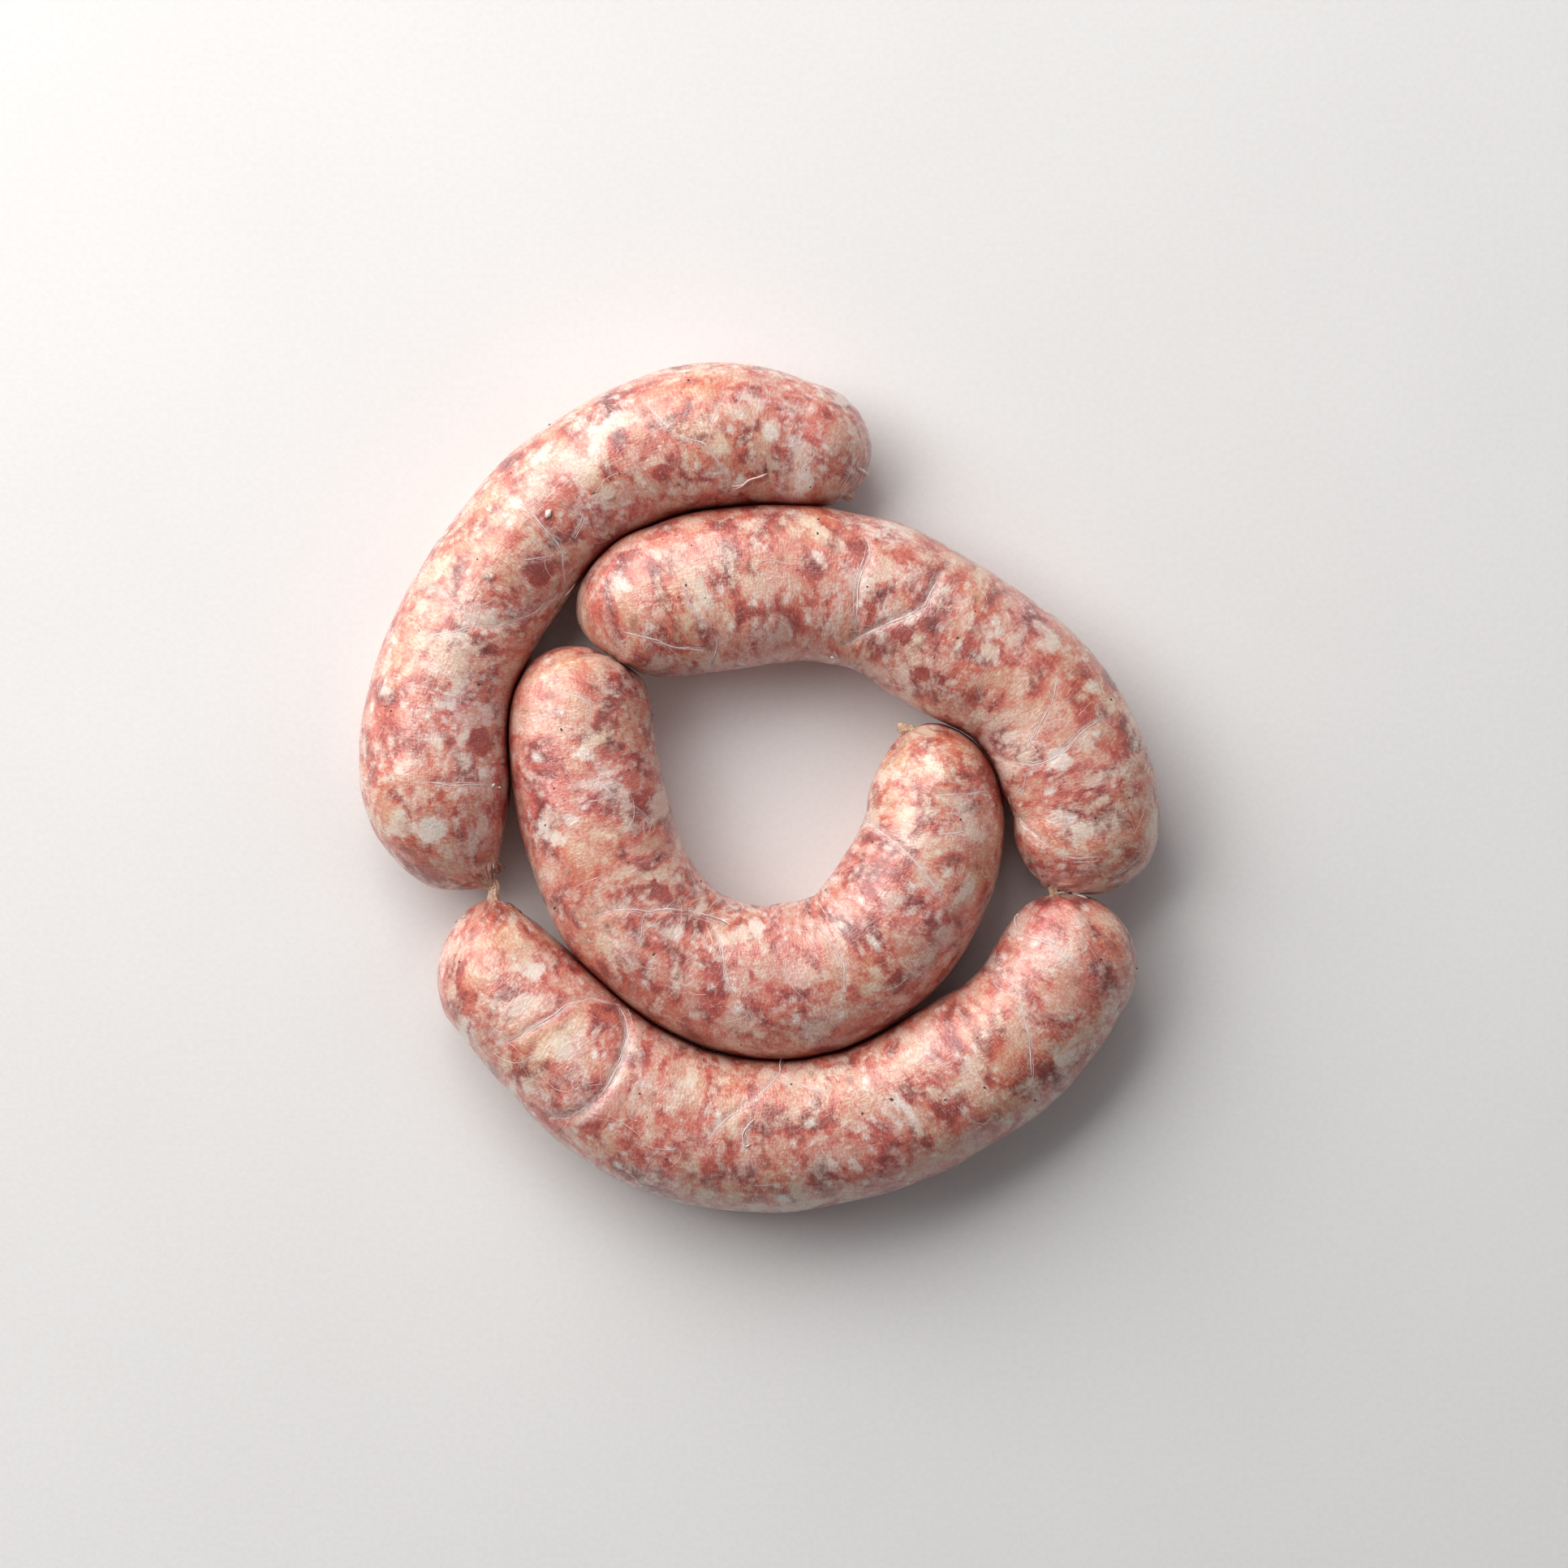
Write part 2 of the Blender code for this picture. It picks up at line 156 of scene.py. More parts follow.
# ---------------- lines of the casing, (x, y) as seen from above
# Each is a fibre of the casing that draws its link in: (depth of the groove, width, points).
SEAMS = {
    "link_outer": (
        (0.3, 0.34, ((-56.9, 65.5), (-54.4, 63.5), (-51.0, 61.4), (-48.9, 58.7), (-46.2, 55.6),
         (-44.0, 52.6), (-43.6, 49.3), (-43.4, 45.9), (-43.1, 43.6))),
        (0.12, 0.22, ((-50.9, 66.4), (-51.2, 64.1), (-50.9, 61.6))),
        (0.4, 0.34, ((-71.2, 44.1), (-68.7, 41.6), (-66.0, 38.5), (-62.9, 36.0), (-59.8, 35.5),
         (-55.5, 36.5), (-51.0, 38.2), (-47.2, 41.0), (-44.5, 42.7), (-42.0, 44.1))),
        (0.15, 0.24, ((-77.0, 43.7), (-74.2, 44.3), (-71.2, 44.1))),
        (0.15, 0.24, ((-75.3, 33.5), (-71.4, 34.0), (-66.9, 34.7), (-62.9, 35.8))),
        (0.22, 0.28, ((-26.4, 86.2), (-22.9, 82.3), (-19.7, 79.0), (-15.8, 76.9), (-12.0, 76.5),
         (-9.3, 72.4), (-7.1, 68.6))),
        (0.15, 0.24, ((-7.6, 86.8), (-9.6, 84.1), (-11.2, 80.6))),
        (0.12, 0.22, ((-39.3, 60.8), (-40.0, 57.6), (-41.7, 55.3))),
        (0.1, 0.2, ((-52.8, 50.4), (-49.2, 50.6), (-45.6, 51.5))),
        (0.22, 0.28, ((-74.4, 1.3), (-69.9, 0.5), (-65.1, 0.7), (-60.6, 0.4), (-58.4, 0.0),
         (-56.8, -0.9))),
        (0.16, 0.26, ((23.4, 78.6), (24.2, 75.0), (23.6, 71.2), (21.6, 67.6), (18.6, 64.6))),
        (0.14, 0.24, ((22.0, 77.2), (22.6, 74.0), (21.8, 70.2), (19.8, 67.0), (16.6, 64.2))),
        (0.1, 0.22, ((20.6, 75.0), (20.8, 72.2), (19.8, 69.2), (17.8, 66.6))),
    ),
    "link_right": (
        (0.6, 0.46, ((-9.8, 33.7), (-9.4, 31.1), (-10.2, 28.4), (-10.9, 25.0))),
        (0.2, 0.26, ((-30.1, 34.4), (-23.5, 32.8), (-19.7, 31.3), (-15.8, 30.8), (-11.4, 30.2))),
        (0.15, 0.22, ((-17.0, 44.3), (-14.7, 38.9), (-11.4, 34.9))),
        (0.45, 0.34, ((23.5, 55.6), (24.4, 51.7), (22.6, 47.9), (21.7, 43.4), (21.3, 39.1),
         (21.9, 34.7))),
        (0.75, 0.36, ((40.0, 47.3), (38.4, 44.1), (36.8, 40.7), (33.4, 38.5), (28.5, 36.4), (24.6, 34.7),
         (20.8, 32.4), (18.8, 31.3))),
        (0.18, 0.24, ((66.0, 25.2), (65.4, 19.8), (62.5, 14.2), (60.4, 11.0), (59.3, 8.3))),
        (0.3, 0.3, ((52.1, 7.0), (56.1, 5.4), (59.8, 4.9), (64.3, 5.9), (68.1, 8.8), (71.4, 12.1),
         (75.3, 14.8), (78.0, 14.8))),
        (0.15, 0.24, ((59.8, 4.9), (58.6, 0.5), (57.9, -2.3))),
        (0.35, 0.46, ((55.0, -2.3), (56.2, -5.6), (57.7, -8.1), (59.8, -9.9), (63.3, -12.8))),
        (0.12, 0.22, ((66.0, -14.4), (69.2, -16.0), (75.3, -15.5))),
    ),
    "link_inner": (
        (0.75, 0.42, ((22.4, -7.2), (26.2, -9.4), (29.1, -11.7), (32.3, -14.4), (35.5, -17.6),
         (38.1, -21.2), (40.0, -23.4))),
        (0.22, 0.26, ((38.4, -1.8), (42.8, -1.8), (47.2, -1.4), (51.0, -0.9))),
        (0.15, 0.26, ((39.5, -10.4), (42.8, -10.3), (45.6, -9.7))),
        (0.4, 0.36, ((-36.8, -29.2), (-34.1, -27.7), (-29.8, -27.0), (-25.3, -27.7), (-22.1, -27.0),
         (-16.5, -27.0), (-13.2, -28.1), (-9.8, -29.3), (-7.1, -29.9))),
        (0.2, 0.26, ((-25.3, -27.7), (-26.4, -31.3), (-26.9, -34.6))),
        (0.25, 0.26, ((-10.9, -30.2), (-8.7, -34.6), (-8.2, -38.5), (-7.5, -42.3), (-6.0, -45.9))),
        (0.28, 0.26, ((13.2, -29.2), (14.8, -32.9), (17.7, -37.4), (18.8, -40.1), (18.3, -45.7))),
        (0.12, 0.22, ((-2.8, -48.4), (-1.7, -52.2))),
        (0.15, 0.22, ((-45.1, 20.9), (-40.0, 20.2), (-36.8, 17.8))),
        (0.22, 0.3, ((-36.3, 1.8), (-31.8, -2.7), (-26.4, -6.3), (-24.6, -8.1))),
    ),
    "link_lower": (
        (1.05, 0.38, ((-31.4, -48.4), (-29.8, -51.1), (-29.2, -54.5), (-30.3, -59.4), (-32.5, -64.4),
         (-35.2, -68.2), (-38.6, -71.3), (-42.4, -73.3), (-46.9, -73.3))),
        (0.4, 0.34, ((-57.3, -56.7), (-53.9, -55.6), (-49.6, -52.7), (-46.2, -51.1), (-42.4, -47.9),
         (-36.8, -46.8), (-30.9, -48.6))),
        (0.45, 0.36, ((5.0, -60.5), (4.4, -63.4), (3.3, -65.0), (-1.0, -68.8), (-5.5, -72.2),
         (-9.3, -75.4), (-11.6, -78.7))),
        (0.2, 0.34, ((-1.0, -73.8), (-3.7, -76.5), (-3.5, -80.3))),
        (0.2, 0.24, ((4.4, -63.4), (7.1, -65.5), (11.1, -66.6), (14.8, -68.2))),
        (0.28, 0.3, ((57.1, -29.2), (56.8, -31.7), (59.3, -33.3), (62.7, -34.0), (66.0, -36.0),
         (68.7, -38.2), (71.0, -40.5))),
        (0.2, 0.24, ((57.7, -45.9), (58.6, -51.5), (59.8, -56.3), (60.2, -63.5), (59.8, -67.5))),
        (0.12, 0.24, ((29.6, -73.4), (32.1, -74.3), (34.6, -75.8))),
    ),
}
GROOVE_WIDTH = 0.55  # to which 0.7 of the seam's depth is added
GROOVE_SINK = 0.8  # depth of a groove for each unit of its seam's

# Larger pieces of the filling that show through, and one white morsel that is a painted highlight:
# (kind, radius, (x, y))
MORSELS = {
    "link_outer": (
        ("mauve", 2.6, (-22.4, 69.1)), ("orange", 2.4, (-26.9, 78.5)), ("cream", 3.2, (-38.4, 69.7)),
        ("coral", 2.6, (-42.9, 64.6)), ("red", 2.6, (-55.0, 55.3)), ("mauve", 3.8, (-48.9, 47.7)),
        ("red", 2.5, (-68.7, 36.5)), ("cream", 2.6, (-66.5, 28.0)), ("mauve", 3.4, (-61.8, 9.6)),
        ("white", 3.4, (-72.5, -9.5)), ("white", 2.2, (2.0, 78.5)),
    ),
    "link_inner": (
        ("white", 2.1, (-40.2, 8.1)), ("red", 1.8, (-44.4, 7.7)), ("coral", 3.0, (-44.8, -0.1)),
        ("coral", 2.6, (-28.3, 1.3)), ("mauve", 2.0, (-27.4, -3.1)), ("white", 2.3, (-47.9, -9.6)),
        ("white", 1.7, (-44.9, -11.2)), ("cream", 1.8, (-36.1, -10.6)), ("mauve", 3.3, (-22.4, -23.5)),
        ("cream", 2.2, (-21.4, -19.4)), ("cream", 2.6, (-34.7, -34.6)), ("cream", 1.7, (0.2, -40.9)),
    ),
    "link_right": (
        ("red", 2.6, (31.2, 51.0)), ("mauve", 2.5, (20.6, 53.3)), ("mauve", 2.8, (31.2, 33.6)),
        ("mauve", 2.4, (36.2, 25.2)), ("rose", 3.3, (72.0, 16.6)), ("cream", 2.4, (51.3, 29.9)),
        # The white morsel at (66.5, 5.9) is a painted highlight: white fat laid where light falls
        # brightest on the link.
        ("cream", 1.8, (55.9, 32.6)), ("white", 3.0, (66.5, 5.9)), ("white", 1.6, (45.4, 14.8)),
        ("cream", 1.8, (61.9, 35.4)),
    ),
    "link_lower": (
        ("orange", 1.6, (61.5, -44.8)), ("orange", 1.8, (55.0, -31.1)), ("orange", 1.5, (71.6, -32.4)),
        ("white", 2.6, (-50.5, -40.5)), ("red", 2.3, (-11.8, -83.5)),
    ),
}
LEAN_HUES = {"mauve": 0.30, "rose": 0.42, "red": 0.52, "coral": 0.68, "orange": 1.06}
FAT_TINTS = {"cream": 0.45, "white": 0.95}

# Threads of casing that stand off the skin: (link, width, (x, y, height above the skin) points)
LOOSE_THREADS = (
    ("link_outer", 0.5, ((-5.9, 66.2, 0.1), (-4.2, 67.0, 0.4), (-2.6, 68.4, 0.6), (-0.4, 69.2, 0.8),
     (1.5, 69.8, 0.5))),
    ("link_outer", 0.3, ((-6.3, 66.9, 0.1), (-5.0, 67.0, 0.3), (-3.9, 67.5, 0.4))),
    ("link_outer", 0.8, ((21.6, 70.9, -0.1), (23.2, 69.9, 0.3), (24.0, 69.2, 0.6))),
    ("link_lower", 0.7, ((65.4, -22.9, 0.3), (67.6, -23.3, 0.4), (70.0, -23.9, 0.3),
     (72.6, -24.7, 0.1))),
    ("link_inner", 0.34, ((-13.5, -28.0, 0.1), (-10.6, -29.0, 0.5), (-8.4, -29.7, 0.5),
     (-7.0, -29.8, 0.9))),
    ("link_inner", 0.24, ((-9.0, -29.5, 0.2), (-7.6, -30.4, 0.6), (-6.6, -31.0, 0.3))),
    ("link_lower", 0.3, ((5.2, -60.2, 0.2), (4.3, -61.6, 0.5), (4.6, -63.2, 0.2))),
    ("link_lower", 0.32, ((-0.8, -73.4, 0.1), (-2.6, -75.0, 0.3), (-3.9, -77.2, 0.3), (-3.4, -79.6, 0.2),
     (-2.0, -78.9, 0.2))),
    ("link_lower", 0.34, ((57.0, -28.6, 0.4), (56.8, -30.0, 0.5), (57.3, -31.6, 0.1))),
    ("link_outer", 0.26, ((-41.2, 45.2, 0.1), (-42.6, 43.9, 0.6), (-43.6, 42.4, 0.3))),
    ("link_right", 0.24, ((14.7, 29.4, 0.1), (16.1, 28.2, 0.5), (17.1, 29.2, 0.5), (16.4, 30.0, 0.1))),
)

# Ground pepper and herbs in the filling, (x, y) as seen from above
PEPPER = (
    (-29.3, -16.7), (-45.5, -26.8), (-26.7, -68.0), (6.9, -65.9), (75.5, -38.2), (49.8, -66.6),
    (48.2, -55.6), (27.6, -35.5), (12.9, 59.4), (43.8, 33.1), (75.3, 16.2), (51.9, 15.3),
    (81.8, -2.3), (-30.0, 24.3), (-50.7, 23.0), (20.1, 72.2), (17.0, 69.5), (10.2, 70.4),
    (11.1, 66.6), (-31.2, 69.7), (55.2, -32.9), (-66.7, -38.7), (-34.5, -7.2), (-44.1, 12.8),
)
HERBS = ((29.1, -69.3), (41.1, -69.3), (70.3, -61.2), (12.7, 56.3), (-37.0, 65.3), (-23.6, -37.0))

# Crumbs that lie on the skin: (link, radius, sideways stretch, (x, y))
CRUMBS = (
    ("link_outer", 1.15, 0.62, (-47.0, 60.8)),
    ("link_outer", 0.62, 0.90, (-59.3, 0.4)),
    ("link_outer", 0.42, 0.90, (-57.9, -0.1)),
    ("link_right", 0.62, 0.95, (16.1, 28.8)),
    ("link_lower", 0.45, 0.80, (57.1, -28.4)),
)

# Sizes are the least and the most radius. The form is how long, wide and high a grain is for its
# radius, and the sink is the share of its height that lies under the skin.
CRUMB_HEIGHT = 0.42
CRUMB_SINK = 0.15
PEPPER_SIZE = (0.15, 0.38)
PEPPER_FORM = (1.0, 0.8, 0.6)
PEPPER_SINK = 0.35
HERB_SIZE = (0.30, 0.58)
HERB_FORM = (1.0, 0.6, 0.22)
HERB_SINK = 0.30

# Necks: the ends that each joins, a link's start being -1 and its finish 1
NECKS = {
    "twist_1": (("link_outer", 1), ("link_lower", -1)),
    "twist_2": (("link_lower", 1), ("link_right", -1)),
    "twist_3": (("link_right", 1), ("link_inner", -1)),
}
NECK_RADII = (1.3, 1.25, 1.0, 1.25, 1.3)
NECK_RISE = 0.25
ROOT = 1.6  # how far inside its link a neck or a loose end starts

# Loose ends: where they are, their radii and flatness from root to tip, and steps from the tie
TAILS = {
    "end_outer": (
        ("link_outer", -1), (1.6, 1.3, 1.0, 0.7), (1, 0.8), ((0.8, -0.7, -0.5), (1.5, -1.4, -1.2)),
    ),
    "end_inner": (
        ("link_inner", 1), (1.9, 1.3, 1.0, 1.2, 1.0), (1, 0.6, 0.35, 0.25),
        ((-0.9, 0.4, 0.5), (-2.0, 0.6, 0.8), (-3.4, 0.5, 0.9)),
    ),
}

# Things on each link, anywhere
MORE_PEPPER = 22
MORE_HERBS = 2
FINE_FIBRES = 150
MOST_CREASE = 0.2  # where they may lie

STRAND_WIDTH = (0.07, 0.15)  # of the finer strands of a seam
FIBRE_WIDTH = (0.06, 0.15)
FIBRE_STEP = 0.7
MEAN_GIRTH = 2 * math.pi * 16.5

# The tubes of empty casing: sides and rings of their meshes
TUBE_SIDES = 28
TUBE_RINGS = 40


# ---------------- shared geometry


class Noise:
    """Smooth random values from -1 to 1 that vary over a distance of about one unit."""

    SIZE = 32

    def __init__(self, seed):
        self.values = np.random.default_rng(seed).uniform(-1, 1, (self.SIZE,) * 3)

    def __call__(self, points):
        cell = np.floor(points).astype(int)
        part = points - cell
        part = part * part * (3 - 2 * part)
        total = np.zeros(points.shape[:-1])
        for corner in np.ndindex(2, 2, 2):
            weight = np.prod(np.where(corner, part, 1 - part), axis=-1)
            x, y, z = np.moveaxis((cell + corner) % self.SIZE, -1, 0)
            total += weight * self.values[x, y, z]
        return total


class Lumps:
    """Rounded lumps of random size, at most one to a cell, in a random share of the cells."""

    SIZE = 32

    def __init__(self, seed, span, share, radius):
        rng = np.random.default_rng(seed)
        self.span = span
        self.centre = rng.uniform(0.1, 0.9, (self.SIZE,) * 3 + (3,))
        filled = np.clip((rng.uniform(0, 1, (self.SIZE,) * 3) + share - 1) / share, 0, 1)
        self.radius = radius * filled**0.7
        self.hue = rng.uniform(0, 1, (self.SIZE,) * 3)

    def __call__(self, points):
        """How deep each point lies in its nearest lump (less than 0 outside) and the lump's hue."""
        points = points / self.span
        cell = np.floor(points).astype(int)
        deepest = np.full(points.shape[:-1], -9.0)
        hue = np.zeros(points.shape[:-1])
        for corner in np.ndindex(3, 3, 3):
            there = cell + corner - 1
            x, y, z = np.moveaxis(there % self.SIZE, -1, 0)
            away = np.linalg.norm(points - there - self.centre[x, y, z], axis=-1) * self.span
            depth = self.radius[x, y, z] - away
            closer = depth > deepest
            deepest = np.where(closer, depth, deepest)
            hue = np.where(closer, self.hue[x, y, z], hue)
        return deepest, hue


def fractal(points, span, seed, octaves=3):
    """Noise from -1 to 1 at a span and its halves."""
    layers = [0.5**k * Noise(seed + k)(points * (2**k / span)) for k in range(octaves)]
    return sum(layers) / (2 - 0.5 ** (octaves - 1))


def shifted(points, span, far, seed):
    """Points moved by up to far in a way that changes over a span."""
    return points + far * np.stack([Noise(seed + k)(points / span) for k in range(3)], axis=-1)


def smooth_through(points, samples):
    """A Catmull-Rom curve through the points, sampled at even steps of its parameter."""
    knots = np.array(points, float)
    first = 3 * knots[0] - 3 * knots[1] + knots[2]
    last = 3 * knots[-1] - 3 * knots[-2] + knots[-3]
    knots = np.vstack([first, knots, last])
    place = np.linspace(0, len(points) - 1, samples)
    span = np.minimum(place.astype(int), len(points) - 2)
    t = (place - span)[:, None]
    a, b, c, d = (knots[span + k] for k in range(4))
    square = 2 * a - 5 * b + 4 * c - d
    cube = 3 * b - a - 3 * c + d
    return b + ((c - a) * t + square * t**2 + cube * t**3) / 2


def unit(vectors):
    return vectors / np.maximum(np.linalg.norm(vectors, axis=-1, keepdims=True), 1e-12)


def turned(vectors, toward, angle):
    """Unit vectors turned by an angle, about the axis that takes +X towards a direction."""
    axis = unit(np.cross((1.0, 0.0, 0.0), toward))
    along = (vectors @ axis)[..., None] * axis
    cosine, sine = math.cos(angle), math.sin(angle)
    return vectors * cosine + np.cross(axis, vectors) * sine + along * (1 - cosine)


def ring_faces(rings, sides):
    """Quads between rings of corners and a fan at each end; the last two corners are the ends."""
    edges = [(k, (k + 1) % sides) for k in range(sides)]
    last = (rings - 1) * sides
    faces = [
        (a + low, b + low, b + low + sides, a + low + sides)
        for low in range(0, last, sides)
        for a, b in edges
    ]
    faces += [(b, a, rings * sides) for a, b in edges]
    return faces + [(a + last, b + last, rings * sides + 1) for a, b in edges]


class Link:
    """One filled link: rings of points from tie to tie, and how the filling lies along it."""

    def __init__(self, name, order):
        shape = LINKS[name]
        self.name = name
        self.order = order
        curve = smooth_through(shape["axis"], AXIS_SAMPLES)
        steps = np.linalg.norm(np.diff(curve[:, :2], axis=0), axis=1)
        reached = np.concatenate([[0], np.cumsum(steps)])
        self.length = reached[-1]
        self.share = reached / reached[-1]
        self.curve = curve
        self.forward = unit(np.gradient(curve[:, :2], reached, axis=0))
        self.caps = {-1: shape["start"], 1: shape["finish"]}
        rng = np.random.default_rng(400 + order)
        self.gather_phase = rng.uniform(0, 2 * math.pi, (3, len(GATHERS)))
        self.turn = np.arange(SEGMENTS) * 2 * math.pi / SEGMENTS
        self.make_rings()

    def body(self, share):
        """Middle, forward and inward directions and half width at a share of the axis."""
        x, y, swell = (np.interp(share, self.share, column) for column in self.curve.T)
        forward = np.array([np.interp(share, self.share, c) for c in self.forward.T] + [0.0])
        inward = np.array([-forward[1], forward[0], 0.0])
        return np.array([x, y, SAG * swell * (1 - REST_DEPTH)]), forward, inward, swell

    def cap_frame(self, side):
        middle, forward, inward, swell = self.body(0.0 if side < 0 else 1.0)
        size = np.array([self.caps[side]["reach"], swell, SAG * swell])
        return middle, np.array([forward * side, inward, UP]), size

    def tie(self, side):
        """The tie at a cap, and the direction in which the neck leaves it."""
        place = np.array(self.caps[side]["tie"])
        return place, unit(place - self.cap_frame(side)[0])

    def body_ring(self, share):
        middle, forward, inward, swell = self.body(share)
        across, height = swell * np.cos(self.turn), SAG * swell * np.sin(self.turn)
        points = middle + across[:, None] * inward + height[:, None] * UP
        filling = np.column_stack([np.full(SEGMENTS, share * self.length), across, height])
        return points, filling, np.array([forward, inward, UP])

    def gathers(self, side, from_tie):
        """How far the folds round a tie raise each point of a cap's ring."""
        lift = from_tie / GATHER_SPREAD
        turn = self.turn + GATHER_TURN * math.exp(-lift)
        height = np.zeros(SEGMENTS)
        for (count, fold), phase in zip(GATHERS, self.gather_phase[side]):
            height += fold * np.cos(count * turn + phase)
        return height * self.caps[side].get("gather", 1.0) * lift * math.exp(1 - lift)

    def cap_ring(self, side, from_tie):
        """One ring of a cap: from_tie is 0 at the tie and pi / 2 where the cap joins the body."""
        shape = self.caps[side]
        centre, directions, size = self.cap_frame(side)
        place, leaving = self.tie(side)
        leaving = directions @ leaving
        facing = unit(directions @ (place - centre) / size)
        slide = math.acos(facing[0]) * (1 - from_tie / (math.pi / 2))
        ring = np.column_stack([np.zeros(SEGMENTS), np.cos(self.turn), np.sin(self.turn)])
        ball = turned(ring * math.sin(from_tie) + np.array([math.cos(from_tie), 0, 0]), facing, slide)
        power = 2 / shape["bluntness"]
        stretch = np.maximum(np.hypot(ball[:, 1], ball[:, 2]), 1e-9) ** (power - 1)
        local = np.column_stack([
            np.sign(ball[:, 0]) * np.abs(ball[:, 0]) ** power,
            ball[:, 1] * stretch,
            ball[:, 2] * stretch,
        ]) * size
        start = self.length if side > 0 else 0.0
        filling = np.column_stack([start + side * local[:, 0], local[:, 1], local[:, 2]])
        local = local + ball * self.gathers(side, from_tie)[:, None]
        neck = turned(ring, leaving, math.acos(leaving[0])) * TIE_RADIUS
        draw = max(1 - from_tie / math.radians(shape["draw"]), 0.0) ** shape.get("taper", TAPER)
        skin = (centre + local @ directions) * (1 - draw)
        return skin + (place + neck @ directions) * draw, filling, directions * [[side], [1], [1]]

    def make_rings(self):
        """Fills points, filling (the place in a straightened link), tied and clear (0 at a tie)."""
        angles = math.pi / 2 * np.linspace(0, 1, CAP_RINGS + 1) ** 1.1
        shares = np.linspace(0, 1, int(self.length / SPACING))[1:-1]
        rings = [self.cap_ring(-1, a) for a in angles]
        rings += [self.body_ring(s) for s in shares]
        rings += [self.cap_ring(1, a) for a in angles[::-1]]
        self.points, self.filling, self.frames = (np.array(column) for column in zip(*rings))
        self.drawn = self.points.copy()
        from_tie = np.concatenate([angles, np.full(len(shares), math.pi / 2), angles[::-1]])
        self.tied = 1 - np.clip(from_tie / TIED_ANGLE, 0, 1)[:, None] * np.ones(SEGMENTS)
        self.clear = np.clip(from_tie / CLEAR_ANGLE, 0, 1)[:, None] ** 1.5 * np.ones(SEGMENTS)
        self.filling += FILLING_STEP * self.order

    def follow_skin(self):
        """Moves the filling with the skin, so that its pattern isn't smeared where links press."""
        moved = self.points - self.drawn
        self.filling += np.einsum("rtk,rjk->rtj", moved, self.frames)

    def normals(self):
        along = np.gradient(self.points, axis=0)
        around = np.roll(self.points, -1, axis=1) - np.roll(self.points, 1, axis=1)
        return unit(np.cross(around, along))

    def faces(self):
        return ring_faces(len(self.points), SEGMENTS)

    def corners(self):
        ends = (self.points[0].mean(axis=0), self.points[-1].mean(axis=0))
        return np.vstack([self.points.reshape(-1, 3), *ends])

    def tree(self):
        return BVHTree.FromPolygons([Vector(p) for p in self.corners()], self.faces())


# ---------------- building the links


def swell_unevenly(link):
    """Raises and sinks the skin as coarse filling does under a tight casing."""
    height = sum(
        size * Noise(500 + 7 * k)(link.filling / span) for k, (span, size) in enumerate(LUMPS)
    )
    link.points += link.normals() * (height * (1 - link.tied))[..., None]


def sight(point):
    """The camera's place, and the line from it to (x, y) at the view's level."""
    eye = Vector(CAMERA_AT)
    return eye, Vector((point[0], point[1], VIEW_HEIGHT)) - eye


def seen_from_above(skin, point):
    """Where the line of sight through (x, y) meets a skin, or the nearest place, and the normal."""
    eye, line = sight(point)
    place, normal, _, _ = skin.ray_cast(eye, line)
    if place is None:
        place, normal, _, _ = skin.find_nearest(eye + line)
    return np.array(place), np.array(normal)


def laid(skin, points, step=0.35):
    """A line on a skin through (x, y) or (x, y, height) points seen from above, and the normals."""
    knots = np.array([(*p, 0.0)[:3] for p in points])
    curve = smooth_through(knots, 200) if len(knots) > 2 else np.linspace(*knots, 200)
    steps = np.linalg.norm(np.diff(curve, axis=0), axis=1)
    reached = np.concatenate([[0], np.cumsum(steps)])
    even = np.linspace(0, reached[-1], max(int(reached[-1] / step), 4))
    curve = np.column_stack([np.interp(even, reached, c) for c in curve.T])
    places, out = map(np.array, zip(*(seen_from_above(skin, p) for p in curve)))
    return places + out * curve[:, 2:], out


def nearness(link, line, width):
    """1 on a line and falling to 0 away from it, for each point of a link."""
    low, high = line.min(axis=0) - 3 * width, line.max(axis=0) + 3 * width
    close = np.all((link.points > low) & (link.points < high), axis=-1)
    near = np.zeros(link.points.shape[:2])
    picked = link.points[close]
    least = np.full(len(picked), 1e9)
    for point in line:
        least = np.minimum(least, ((picked - point) ** 2).sum(axis=1))
    near[close] = np.exp(-least / width**2)
    return near


def draw_in_seams(links):
    """Sinks a groove along each seam and keeps how near each point is to one."""
    for name, link in links.items():
        link.veil = np.zeros(link.points.shape[:2])
        sink = np.zeros(link.points.shape[:2])
        skin = link.tree()
        for depth, _, points in SEAMS[name]:
            line, _ = laid(skin, points)
            groove = nearness(link, line, GROOVE_WIDTH + 0.7 * depth)
            sink = np.maximum(sink, GROOVE_SINK * depth * groove)
            veil = nearness(link, line, 0.6 + 0.9 * depth)
            link.veil = np.maximum(link.veil, veil * min(1.0, 0.4 + depth))
        link.points -= link.normals() * sink[..., None]


